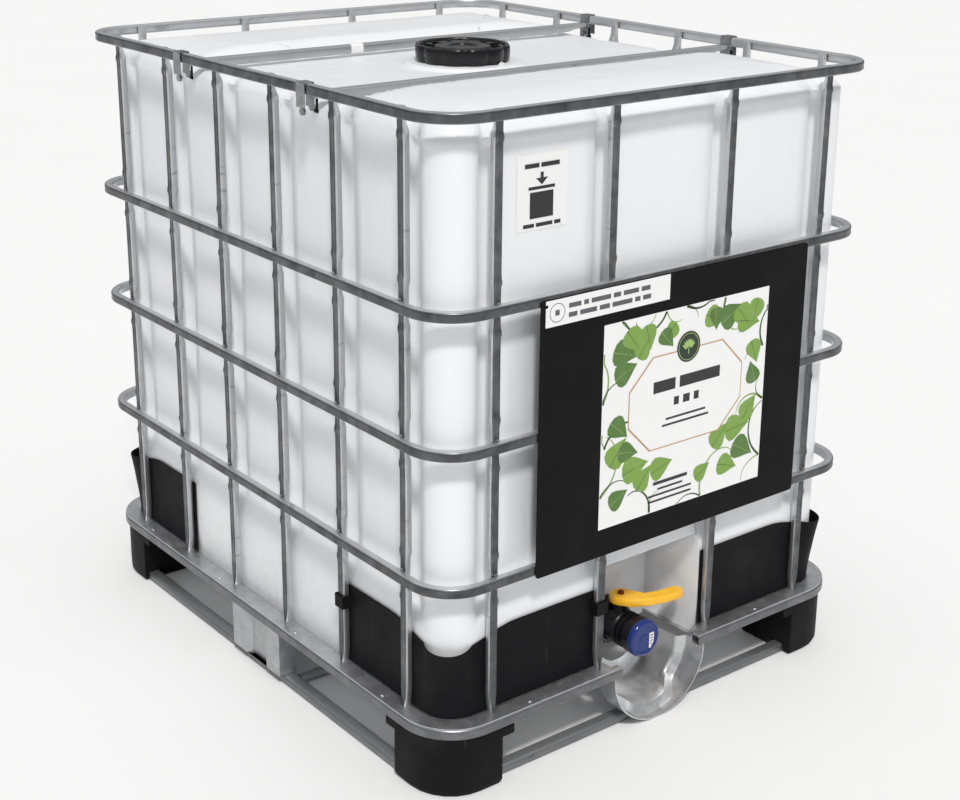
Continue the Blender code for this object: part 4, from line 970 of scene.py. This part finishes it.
def hexagon(place, wide, tip, long):
    """Adds one hexagon head with its axis across the container."""
    made = bmesh.ops.create_cone(bolts, cap_ends=True, segments=6, radius1=wide, radius2=tip,
        depth=long)["verts"]
    bmesh.ops.rotate(bolts, cent=(0, 0, 0), matrix=Matrix.Rotation(math.pi / 2, 3, "Y"), verts=made)
    bmesh.ops.translate(bolts, vec=place, verts=made)


for bar in ("front", "rear"):
    low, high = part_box(f"crossbar_{bar}")
    tube = bmesh.new()
    section = rounded_section(high.y - low.y, high.z - low.z, 0.0048)
    edges = strung(tube, [(low.x, low.y + across, low.z + up) for across, up in section])
    bmesh.ops.contextual_create(tube, geom=edges)
    parts = 40
    for i in range(parts):
        edges = carried(tube, edges, ((high.x - low.x) / parts, 0, 0))
    bmesh.ops.contextual_create(tube, geom=edges)
    for vert in tube.verts:
        end = min(vert.co.x - low.x, high.x - vert.co.x)
        flat = 1 - 0.35 * (1 - smooth_share(end, 0.020, 0.060))
        middle = (low.z + high.z) / 2
        vert.co.z = high.z - (high.z - vert.co.z) * flat
        vert.co.z -= 0.0006 * (1 + noise.noise(Vector((vert.co.x * 4, low.y, 2))))
    put(f"crossbar_{bar}_tube", tube, BAR_ZINC, [f"crossbar_{bar}"])
    for side, sign in (("left", -1), ("right", 1)):
        node = f"clamp_{bar}_{side}"
        clip_low, clip_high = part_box(node)
        bracket = put(f"{node}_bracket", merged_copy(node), CLIP_ZINC, [node])
        ease_edges(bracket, 0.0009, 3)
        middle_y = (low.y + high.y) / 2
        inner_x = clip_low.x if sign > 0 else clip_high.x
        hexagon((inner_x - sign * 0.0029, middle_y, low.z - 0.009), 0.0075, 0.0072, 0.005)
        outer_x = clip_high.x if sign > 0 else clip_low.x
        hexagon((outer_x - sign * 0.0052, middle_y + 0.001, clip_low.z - 0.0065), 0.0072, 0.0066, 0.0055)
put("bracket_bolts", bolts, CLIP_ZINC, sharp=25)


def block(bm, size, place):
    """Adds a block of this size, its middle at this place."""
    made = bmesh.ops.create_cube(bm, size=1.0)["verts"]
    bmesh.ops.scale(bm, vec=size, verts=made)
    bmesh.ops.translate(bm, vec=place, verts=made)
    return made


straps = bmesh.new()
for y in (-0.222, 0.195):
    for sign in (-1, 1):
        x = sign * 0.4790
        block(straps, (0.0022, 0.006, 0.020), (x, y - 0.018, 1.124))
        block(straps, (0.0026, 0.011, 0.006), (x, y - 0.016, 1.113))
ease_edges(put("bracket_straps", straps, FOOT_BLACK), 0.0009, 2)

# A turn of white tape is wound round the rear bar beside the lid.
tape = bmesh.new()
low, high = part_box("crossbar_rear")
section = rounded_section(high.y - low.y + 0.0012, high.z - low.z + 0.0012, 0.0052)
edges = strung(tape, [(-0.128, low.y - 0.0006 + across, low.z - 0.0012 + up) for across, up in section])
for i in range(4):
    edges = carried(tape, edges, (0.007, 0, 0))
tape_piece = put("bar_tape", tape, PAPER_WHITE)
walled(tape_piece, "tape", 0.0004)

# ---------------------------------------------------------------- lid
# Glossy black screw lid with round lobes for the hands, a rolled rim, a sunk middle and ribs.
# A grey ring seals it on the neck, and a small white tamper tag hangs on its skirt.

lid_low, lid_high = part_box("lid")
LID_R = lid_high.x
GLOSS_BLACK = black_moulding("lid_black", (0.005, 0.005, 0.006), 0.12, 0.04, 0.42)
LOBES = 12
lid = bmesh.new()
made = bmesh.ops.create_circle(lid, cap_ends=False, radius=1.0, segments=LOBES * 14)["verts"]
bmesh.ops.translate(lid, vec=(0, 0, lid_low.z), verts=made)
edges = lid.edges[:]
lid_steps = [  # radius, height under the top, share of the lobes
    (0.0800, 0.0330, 0.0), (0.0800, 0.0355, 0.0), (0.0865, 0.0360, 0.3), (0.0880, 0.0345, 0.5), (0.0882,
        0.0300, 0.6),
    (0.0892, 0.0290, 1.0), (0.0905, 0.0240, 1.0), (0.0912, 0.0140, 1.0), (0.0912, 0.0070, 1.0), (0.0905,
        0.0030, 1.0),
    (0.0888, 0.0008, 0.9), (0.0865, 0.0000, 0.7), (0.0835, 0.0002, 0.4), (0.0815, 0.0016, 0.2), (0.0805,
        0.0050, 0.0),
    (0.0798, 0.0078, 0.0), (0.0780, 0.0088, 0.0), (0.0560, 0.0088, 0.0), (0.0545, 0.0080, 0.0), (0.0535,
        0.0042, 0.0),
    (0.0520, 0.0034, 0.0), (0.0290, 0.0034, 0.0), (0.0275, 0.0042, 0.0), (0.0265, 0.0060, 0.0), (0.0120,
        0.0060, 0.0), (0.0010, 0.0060, 0.0),
]
for i, (radius, under, lobed) in enumerate(lid_steps):
    if i:
        edges, ring = next_ring(lid, edges)
    else:
        ring = lid.verts[:]
    for vert in ring:
        turn = math.atan2(vert.co.y, vert.co.x)
        wave = abs(math.sin(LOBES * turn / 2 + 0.4))
        reach = radius - 0.0062 * lobed * (1 - wave ** 0.55)
        vert.co = Vector((reach * math.cos(turn), reach * math.sin(turn), lid_high.z - under))
bmesh.ops.holes_fill(lid, edges=edges, sides=0)
bmesh.ops.recalc_face_normals(lid, faces=lid.faces)
lid_piece = put("screw_lid", lid, GLOSS_BLACK, ["lid"], body="lid", sharp=50, turn=False)
walled(lid_piece, "moulded_wall", 0.0018)
lid_ribs = bmesh.new()
for i in range(LOBES):
    made = block(lid_ribs, (0.0225, 0.0026, 0.0065), (0.0672, 0, lid_high.z - 0.0058))
    turn = Matrix.Rotation(math.pi * 2 * (i + 0.5) / LOBES, 3, "Z")
    bmesh.ops.rotate(lid_ribs, cent=(0, 0, 0), matrix=turn, verts=made)
ease_edges(put("lid_ribs", lid_ribs, GLOSS_BLACK, body="lid"), 0.0007, 2)


def grey_rubber():
    rubber = Finish("grey_rubber", Specular_IOR_Level=0.3)
    bloom = rubber.cloud(60.0, 4.0)
    rubber.relief(bloom, 0.0006, 0.3)
    return rubber.done(Base_Color=rubber.blend(bloom, (0.07, 0.07, 0.072), (0.13, 0.13, 0.13)),
        Roughness=bloom * 0.2 + 0.65)


RUBBER = grey_rubber()


def seal_ring(name, node, way, body):
    low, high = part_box(node)
    span = high - low
    outer = span.x / 2
    thick = span.y if way == "Y" else span.z
    start = low.y if way == "Y" else low.z
    inner = {"lid_gasket": 0.0725, "valve_gasket": 0.0225, "dust_cap_gasket": outer - 0.0050}[node]
    centre = (0, 0, VALVE_Z) if way == "Y" else (0, 0, 0)
    ease = 0.0008
    profile = [(inner, start + ease), (inner + ease, start), (outer - ease, start), (outer, start + ease)]
    profile += [(outer, start + thick - ease), (outer - ease, start + thick), (inner + ease, start + thick),
        (inner, start + thick - ease)]
    bm = bmesh.new()
    lathe(bm, profile, centre, way, 64, closed=True)
    return put(name, bm, RUBBER, [node], body=body)


seal_ring("lid_seal_ring", "lid_gasket", "Z", "lid_seal")
TAG_WHITE = printed_sheet("tag_white", (0.84, 0.84, 0.82), 0.42)
tag = put("tamper_tag_moulding", merged_copy("tamper_tag"), TAG_WHITE, ["tamper_tag"],
    body="lid")
ease_edges(tag, 0.0006, 2)

# ---------------------------------------------------------------- outlet valve
# Black moulded ball-type body with a collar for the spindle, held to the boss by a ribbed union nut.
# A quarter turn of the amber lever turns the disc inside; a screw holds the lever on its stem.

VALVE_BLACK = black_moulding("valve_black", (0.006, 0.006, 0.008), 0.20, 0.05, 0.30)
seal_ring("valve_seal_ring", "valve_gasket", "Y", "container")
nut_low, nut_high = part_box("valve_union_nut")
nut = bmesh.new()
nut_r = nut_high.x
lathe(nut, [(0.0345, nut_low.y), (nut_r - 0.003, nut_low.y), (nut_r - 0.0012, nut_low.y + 0.002),
    (nut_r - 0.0012, nut_high.y - 0.003),
            (nut_r - 0.003, nut_high.y), (0.0345, nut_high.y)], (0, 0, VALVE_Z), "Y", 72, closed=True)
for i in range(24):
    made = block(nut, (0.0042, nut_high.y - nut_low.y - 0.005, 0.0044),
        (nut_r - 0.0022, (nut_low.y + nut_high.y) / 2, 0))
    bmesh.ops.rotate(nut, cent=(0, 0, 0), matrix=Matrix.Rotation(math.pi / 12 * i, 3, "Y"), verts=made)
    bmesh.ops.translate(nut, vec=(0, 0, VALVE_Z), verts=made)
ease_edges(put("union_nut_ribbed", nut, VALVE_BLACK, ["valve_union_nut"]), 0.0007, 2, 40)

body_piece = put("valve_body_moulding", merged_copy("valve_body"), VALVE_BLACK, ["valve_body"],
    sharp=34)
ease_edges(body_piece, 0.0008, 2, 34)
bands = bmesh.new()
for along in (-0.4635, -0.5075, -0.5165):
    lathe(bands, [(0.0300, along), (0.0336, along), (0.0340, along + 0.0008), (0.0340, along + 0.0022),
        (0.0336, along + 0.003), (0.0300, along + 0.003)],
          (0, 0, VALVE_Z), "Y", 56, closed=True)
put("valve_body_bands", bands, VALVE_BLACK)
for node, name in (("valve_disc", "valve_disc_plate"), ("valve_stem", "valve_stem_pin")):
    ease_edges(put(name, merged_copy(node), VALVE_BLACK, [node], body="valve_spindle"),
        0.0005, 2)


def amber_plastic():
    """Glossy amber moulding, a little darker where hands leave grime."""
    amber = Finish("amber_plastic", Specular_IOR_Level=0.5)
    soft = amber.cloud(35.0, 4.0, warp=0.5)
    fine = amber.cloud(700.0, 2.0)
    grime = amber.between(amber.cloud(80.0, 5.0), 0.58, 0.78)
    tone = amber.blend(soft, (1.0, 0.47, 0.016), (1.0, 0.60, 0.035))
    tone = amber.blend(grime * 0.15, tone, (0.35, 0.13, 0.02))
    amber.relief(soft * 0.8 + fine * 0.06, 0.0010, 0.3)
    return amber.done(Base_Color=tone, Roughness=(soft * 0.2 + grime * 0.2 + 0.18).held())


AMBER = amber_plastic()
lever_low, lever_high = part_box("valve_handle")
lever = put("lever_moulding", merged_copy("valve_handle"), AMBER, ["valve_handle"],
    body="valve_spindle", sharp=40)
ease_edges(lever, 0.0034, 4, 40)
ridge = bmesh.new()
STEM = Vector((0, -0.487, 0))
spine = [(0.022, -0.032), (0.045, -0.0415), (0.070, -0.0465), (0.088, -0.0485)]
edges = strung(ridge, [(x, STEM.y + y, lever_high.z - 0.0006) for x, y in spine], closed=False)
edges = carried(ridge, edges, (0, 0.004, 0.0014))
edges = carried(ridge, edges, (0, 0.004, 0))
edges = carried(ridge, edges, (0, 0.004, -0.0014))
ridge_piece = put("lever_ridge", ridge, AMBER, body="valve_spindle", sharp=80)
walled(ridge_piece, "moulded_wall", 0.0010)
screw_low, screw_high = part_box("handle_screw")
screw = bmesh.new()
lathe(screw, [(0.0, lever_high.z - 0.004), (0.0045, lever_high.z - 0.004), (0.0045, lever_high.z),
    (0.0062, lever_high.z + 0.0002), (0.0064, lever_high.z + 0.0008),
              (0.0060, screw_high.z - 0.0008), (0.0050, screw_high.z), (0.0036, screw_high.z), (0.0030,
                  screw_high.z - 0.0018), (0.0, screw_high.z - 0.0018)],
      (0, STEM.y, 0), "Z", 40)
SCREW_RED = black_moulding("screw_red", (0.14, 0.014, 0.010), 0.2, 0.1, 0.3)
put("lever_screw", screw, SCREW_RED, ["handle_screw"], body="valve_spindle")

# ---------------------------------------------------------------- dust cap
# Smooth glossy navy screw cap on the outlet nozzle, with a rolled edge and a white paper tag.
# It closes against a black collar that stays on the valve.


def navy_plastic():
    navy = Finish("navy_plastic", Specular_IOR_Level=0.5)
    soft = navy.cloud(40.0, 4.0, warp=0.6)
    specks = navy.between(navy.cloud(260.0, 3.0), 0.66, 0.74)
    tone = navy.blend(soft, (0.0030, 0.019, 0.145), (0.0065, 0.033, 0.215))
    tone = navy.blend(specks * 0.05, tone, (0.35, 0.42, 0.55))
    navy.relief(soft + specks * 0.3, 0.0010, 0.35)
    return navy.done(Base_Color=tone, Roughness=(soft * 0.10 + specks * 0.05 + 0.10).held())


NAVY = navy_plastic()
cap_low, cap_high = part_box("dust_cap")
cap_r, face_y = cap_high.x, cap_low.y
CAP_DEEP = 0.0113
cap_back = face_y + CAP_DEEP
cap = bmesh.new()
lathe(cap, [(0.0305, cap_back), (cap_r - 0.0014, cap_back), (cap_r - 0.0009, cap_back - 0.001),
    (cap_r - 0.0012, face_y + 0.006), (cap_r - 0.0022, face_y + 0.0022),
            (cap_r - 0.0050, face_y + 0.0003), (cap_r - 0.0085, face_y), (cap_r - 0.0100,
                face_y + 0.0008), (cap_r - 0.0106, face_y + 0.0022), (cap_r - 0.0125, face_y + 0.0026),
            (0.0095, face_y + 0.0026), (0.0085, face_y + 0.0012), (0.0060, face_y + 0.0010), (0.0,
                face_y + 0.0010)], (0, 0, VALVE_Z), "Y", 80)
outer_shell = put("dust_cap_moulding", cap, NAVY, ["dust_cap"], body="dust_cap", sharp=50)
walled(outer_shell, "moulded_wall", 0.0016)
collar = bmesh.new()
collar_back, collar_front = cap_high.y, cap_back + 0.0006
lathe(collar, [(0.0320, collar_back), (0.0345, collar_back), (0.0355, collar_back - 0.001),
    (0.0355, collar_front + 0.001),
               (0.0345, collar_front), (0.0320, collar_front)], (0, 0, VALVE_Z), "Y", 72, closed=True)
put("nozzle_collar", collar, VALVE_BLACK)
seal_ring("dust_cap_seal_ring", "dust_cap_gasket", "Y", "cap_seal")
cap_tag = bmesh.new()
flat_box(cap_tag, 0.0120, VALVE_Z - 0.0235, 0.0235, VALVE_Z + 0.007, face_y + 0.0027, 0.0005)
put("cap_tag", cap_tag, TAG_WHITE, body="dust_cap")
cap_print = bmesh.new()
for i, (left, right) in enumerate(((0.0135, 0.0220), (0.0135, 0.0205), (0.0135, 0.0215), (0.0135, 0.0185))):
    top = VALVE_Z + 0.003 - 0.0055 * i
    flat_box(cap_print, left, top - 0.0016, right, top, face_y + 0.0021, 0.00012)
put("cap_tag_bars", cap_print, INK_BLACK, body="dust_cap")

# ---------------------------------------------------------------- label plate
# A black plastic sheet is riveted over the three rings in front. It carries a white marking strip,
# and a large printed sheet with garden leaves round a pale field, a green badge and plain bars.

plate_low, plate_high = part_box("label_plate")
PLATE_BLACK = black_moulding("plate_black", (0.0045, 0.0045, 0.0052), 0.42, 0.03)
plate = bmesh.new()
block(plate, plate_high - plate_low, (plate_low + plate_high) / 2)
upright_edges = [edge for edge in plate.edges if abs(edge.verts[0].co.y - edge.verts[1].co.y) > 0.001]
bmesh.ops.bevel(plate, geom=upright_edges, offset=0.007, segments=5, profile=0.5, affect="EDGES", material=-1)
plate_piece = put("plate_sheet", plate, PLATE_BLACK, ["label_plate"])
ease_edges(plate_piece, 0.0005, 2, 60)
pins = bmesh.new()
for x in (plate_low.x + 0.012, plate_high.x - 0.012):
    for z in (plate_high.z - 0.010, ring_middles[2], plate_low.z + 0.012):
        dome(pins, (x, plate_low.y, z), 0.0034, 0.0006, "Y")
put("plate_pins", pins, PLATE_BLACK)

print_y = plate_low.y
marking = bmesh.new()
flat_box(marking, -0.292, 0.801, -0.020, plate_high.z - 0.001, print_y, 0.0003)
put("marking_strip", marking, PAPER_WHITE)
bars = bmesh.new()
lathe(bars, [(0.0148, print_y - 0.00045), (0.0160, print_y - 0.00045), (0.0160, print_y - 0.0002),
    (0.0148, print_y - 0.0002)], (-0.268, 0, 0.823), "Y", 36, closed=True)
flat_box(bars, -0.2725, 0.8185, -0.2635, 0.8275, print_y - 0.0003, 0.00015)
for row, widths in enumerate(((0.026, 0.010, 0.042, 0.016, 0.034, 0.020),
    (0.018, 0.036, 0.022, 0.044, 0.012, 0.018))):
    x = -0.244
    for width in widths:
        flat_box(bars, x, 0.8265 - 0.0155 * row, x + width, 0.8345 - 0.0155 * row, print_y - 0.0003, 0.00015)
        x += width + 0.006
put("marking_bars", bars, printed_sheet("ink_grey", (0.10, 0.10, 0.11), 0.4))

label_left, label_right, label_low, label_top = -0.166, 0.226, 0.418, 0.782
backing = bmesh.new()
flat_box(backing, label_left, label_low, label_right, label_top, print_y, 0.00035)
put("leaf_sheet", backing, PAPER_WHITE)
layer = print_y - 0.00035


def leaf(bm, x, z, turn, long, wide, y):
    """A pointed heart-shaped leaf lying in the print, its stalk at (x, z)."""
    outline = []
    half = [(0.0, 0.0), (0.04, 0.28), (0.16, 0.47), (0.34, 0.50), (0.55, 0.38), (0.76, 0.19), (0.90, 0.07),
        (1.0, 0.0)]
    for along, out in half + [(a, -o) for a, o in half[-2:0:-1]]:
        run, rise = along * long, out * wide + 0.05 * long * math.sin(along * 3)
        outline.append((x + run * math.cos(turn) - rise * math.sin(turn),
            z + run * math.sin(turn) + rise * math.cos(turn)))
    flat_shape(bm, outline, y, 0.00012)


def vine(bm, points, width, y):
    """A thin printed stem through these (x, z) points, tapering to its tip."""
    previous = None
    verts = []
    for i, (x, z) in enumerate(points):
        ahead = points[min(i + 1, len(points) - 1)]
        behind = points[max(i - 1, 0)]
        direction = Vector((ahead[0] - behind[0], ahead[1] - behind[1])).normalized()
        half = width * (1 - 0.7 * i / len(points)) / 2
        side = Vector((-direction.y, direction.x)) * half
        pair = (bm.verts.new((x + side.x, y, z + side.y)), bm.verts.new((x - side.x, y, z - side.y)))
        if previous:
            bm.faces.new((previous[0], previous[1], pair[1], pair[0]))
        previous = pair
        verts += pair
    faces = [face for face in bm.faces if all(vert in verts for vert in face.verts)]
    thicken(bm, faces, (0, -0.00010, 0))


def curl(x, z, start, sweep, radius, shrink, steps=26):
    """Points of a tendril that winds up as it goes, starting at (x, z) in the direction start."""
    points = [(x, z)]
    heading = start
    length = abs(sweep) * radius / steps
    for i in range(steps):
        share = 1 - (1 - shrink) * i / steps
        heading += sweep / steps
        x += length * share * math.cos(heading)
        z += length * share * math.sin(heading)
        points.append((x, z))
    return points


def inside_label(points):
    return [(min(max(x, label_left + 0.002), label_right - 0.002),
        min(max(z, label_low + 0.002), label_top - 0.002)) for x, z in points]


width, tall = label_right - label_left, label_top - label_low
mid_x = (label_left + label_right) / 2
stems = bmesh.new()
pale_stems = bmesh.new()
light_leaves = bmesh.new()
dark_leaves = bmesh.new()
stem_rules = (
    (0.00, 0.62, 0.9, 2.6, 0.070, 0.35), (0.02, 0.40, 1.3, -2.8, 0.060, 0.4), (0.0, 0.16, 0.5, 2.2, 0.085,
        0.4),
    (0.30, 0.0, 1.4, 2.4, 0.055, 0.3), (0.62, 0.0, 1.9, -2.6, 0.075, 0.35), (1.0, 0.12, 2.6, -2.4, 0.080,
        0.35),
    (1.0, 0.42, 2.3, 2.5, 0.052, 0.35), (0.98, 0.70, 2.2, -2.5, 0.060, 0.4), (0.72, 1.0, -2.0, 2.2, 0.060,
        0.35),
    (0.36, 1.0, -1.9, -2.6, 0.052, 0.35), (0.10, 1.0, -1.0, 2.3, 0.060, 0.35), (0.48, 1.0, -0.6, 1.9, 0.060,
        0.4),
)
for i, (a, b, start, sweep, radius, shrink) in enumerate(stem_rules):
    x, z = label_left + a * width, label_low + b * tall
    points = inside_label(curl(x, z, start, sweep, radius, shrink))
    vine(stems if i % 2 else pale_stems, points, 0.0046, layer)
    points = inside_label(curl(x, z, start + 0.5, -sweep * 0.8, radius * 0.7, 0.3))
    vine(pale_stems if i % 2 else stems, points, 0.0030, layer)
leaf_rules = (
    (0.05, 0.86, -0.3, 0.050), (0.13, 0.95, -0.9, 0.046), (0.24, 0.96, -1.3, 0.040), (0.07, 0.72, 0.4,
        0.046), (0.20, 0.80, 0.9, 0.042),
    (0.60, 0.93, -0.4, 0.044), (0.70, 0.90, 0.5, 0.050), (0.80, 0.93, -0.9, 0.046), (0.88, 0.86, -0.2,
        0.048), (0.66, 0.97, -1.5, 0.036),
    (0.93, 0.97, -1.8, 0.040), (0.90, 0.74, -1.2, 0.040), (0.05, 0.52, -0.7, 0.044), (0.04, 0.30, 0.9,
        0.050), (0.13, 0.24, 0.2, 0.052),
    (0.10, 0.36, -0.2, 0.040), (0.22, 0.14, 0.9, 0.044), (0.30, 0.20, 0.3, 0.046), (0.06, 0.10, 0.5,
        0.040), (0.68, 0.24, 0.8, 0.046),
    (0.76, 0.30, 0.1, 0.052), (0.84, 0.22, -0.5, 0.050), (0.90, 0.34, 0.9, 0.044), (0.72, 0.14, -0.3,
        0.044), (0.94, 0.52, 1.9, 0.038),
    (0.58, 0.10, 0.6, 0.036), (0.42, 0.93, -2.3, 0.034), (0.33, 0.90, -0.8, 0.036),
)
for i, (a, b, turn, long) in enumerate(leaf_rules):
    x, z = label_left + a * width, label_low + b * tall
    long *= 1.18
    reach_x, reach_z, side = long * math.cos(turn), long * math.sin(turn), long * 0.36
    x = min(max(x, label_left + side - min(0, reach_x)), label_right - side - max(0, reach_x))
    z = min(max(z, label_low + side - min(0, reach_z)), label_top - side - max(0, reach_z))
    target = light_leaves if i % 3 else dark_leaves
    leaf(target, x, z, turn, long, long * 0.80, layer - 0.00012 - 0.000006 * i)
    vein = stems if i % 3 else pale_stems
    tip = (x + long * 0.85 * math.cos(turn), z + long * 0.85 * math.sin(turn))
    vine(vein, [(x, z), ((x + tip[0]) / 2, (z + tip[1]) / 2 + 0.001), tip], 0.0011,
        layer - 0.00025 - 0.000006 * i)
LEAF_GREEN = printed_sheet("leaf_green", (0.20, 0.36, 0.055), 0.4, 0.5)
put("vine_stems", stems, printed_sheet("stem_green", (0.025, 0.075, 0.018), 0.4))
put("vine_pale_stems", pale_stems, printed_sheet("stem_pale", (0.28, 0.42, 0.14), 0.4))
put("vine_light_leaves", light_leaves, LEAF_GREEN)
put("vine_dark_leaves", dark_leaves, printed_sheet("leaf_deep_green", (0.085, 0.19, 0.03), 0.4, 0.4))
field_x, field_z = mid_x, label_low + tall * 0.555


def lozenge(grow):
    half_x, half_z, cut = 0.134 + grow, 0.083 + grow, 0.052
    return [
        (field_x - half_x + cut, field_z - half_z), (field_x + half_x - cut,
            field_z - half_z), (field_x + half_x, field_z - half_z + cut),
        (field_x + half_x, field_z + half_z - cut), (field_x + half_x - cut,
            field_z + half_z), (field_x - half_x + cut, field_z + half_z),
        (field_x - half_x, field_z + half_z - cut), (field_x - half_x, field_z - half_z + cut),
    ]


tan = bmesh.new()
flat_shape(tan, lozenge(0.002), layer - 0.00052, 0.00008)
put("field_border", tan, printed_sheet("ink_tan", (0.52, 0.30, 0.12), 0.4))
pale_field = bmesh.new()
flat_shape(pale_field, lozenge(0.0), layer - 0.00060, 0.00008)
put("pale_field", pale_field, PAPER_WHITE)
badge = bmesh.new()
badge_z = field_z + 0.088
lathe(badge, [(0.0, layer - 0.00095), (0.0270, layer - 0.00095), (0.0275, layer - 0.0009),
    (0.0275, layer - 0.0004), (0.0, layer - 0.0004)], (field_x, 0, badge_z), "Y", 48)
put("badge_disc", badge, printed_sheet("badge_green", (0.012, 0.030, 0.014), 0.35))
badge_marks = bmesh.new()
lathe(badge_marks, [(0.0232, layer - 0.00105), (0.0242, layer - 0.00105), (0.0242, layer - 0.00092),
    (0.0232, layer - 0.00092)], (field_x, 0, badge_z), "Y", 48, closed=True)
for i in range(7):
    turn = math.pi * (0.14 + 0.12 * i)
    leaf(badge_marks, field_x + 0.003 * math.cos(turn), badge_z - 0.002 + 0.003 * math.sin(turn), turn,
        0.014, 0.008, layer - 0.00095 - 0.000006 * i)
flat_box(badge_marks, field_x - 0.0009, badge_z - 0.013, field_x + 0.0009, badge_z + 0.001, layer - 0.00095,
    0.0001)
put("badge_marks", badge_marks, printed_sheet("badge_pale", (0.35, 0.52, 0.16), 0.35))
words = bmesh.new()
for centre, z, high, widths in (
    (field_x, field_z + 0.018, 0.021, (0.052, 0.098)), (field_x, field_z - 0.012, 0.015,
        (0.012, 0.016, 0.012)),
):
    x = centre - (sum(widths) + 0.010 * (len(widths) - 1)) / 2
    for wide in widths:
        flat_box(words, x, z, x + wide, z + high, layer - 0.00068, 0.00008)
        x += wide + 0.010
for row, wide in enumerate((0.096, 0.112)):
    flat_box(words, field_x - wide / 2, field_z - 0.036 - 0.011 * row, field_x + wide / 2,
        field_z - 0.032 - 0.011 * row, layer - 0.00068, 0.00008)
for row, wide in enumerate((0.082, 0.060, 0.104, 0.104)):
    high = 0.006 if row == 0 else 0.0036
    z = label_low + 0.050 - 0.0105 * row
    flat_box(words, field_x - 0.030 - wide / 2, z, field_x - 0.030 + wide / 2, z + high, layer - 0.00036,
        0.0001)
put("plain_bars", words, INK_BLACK)
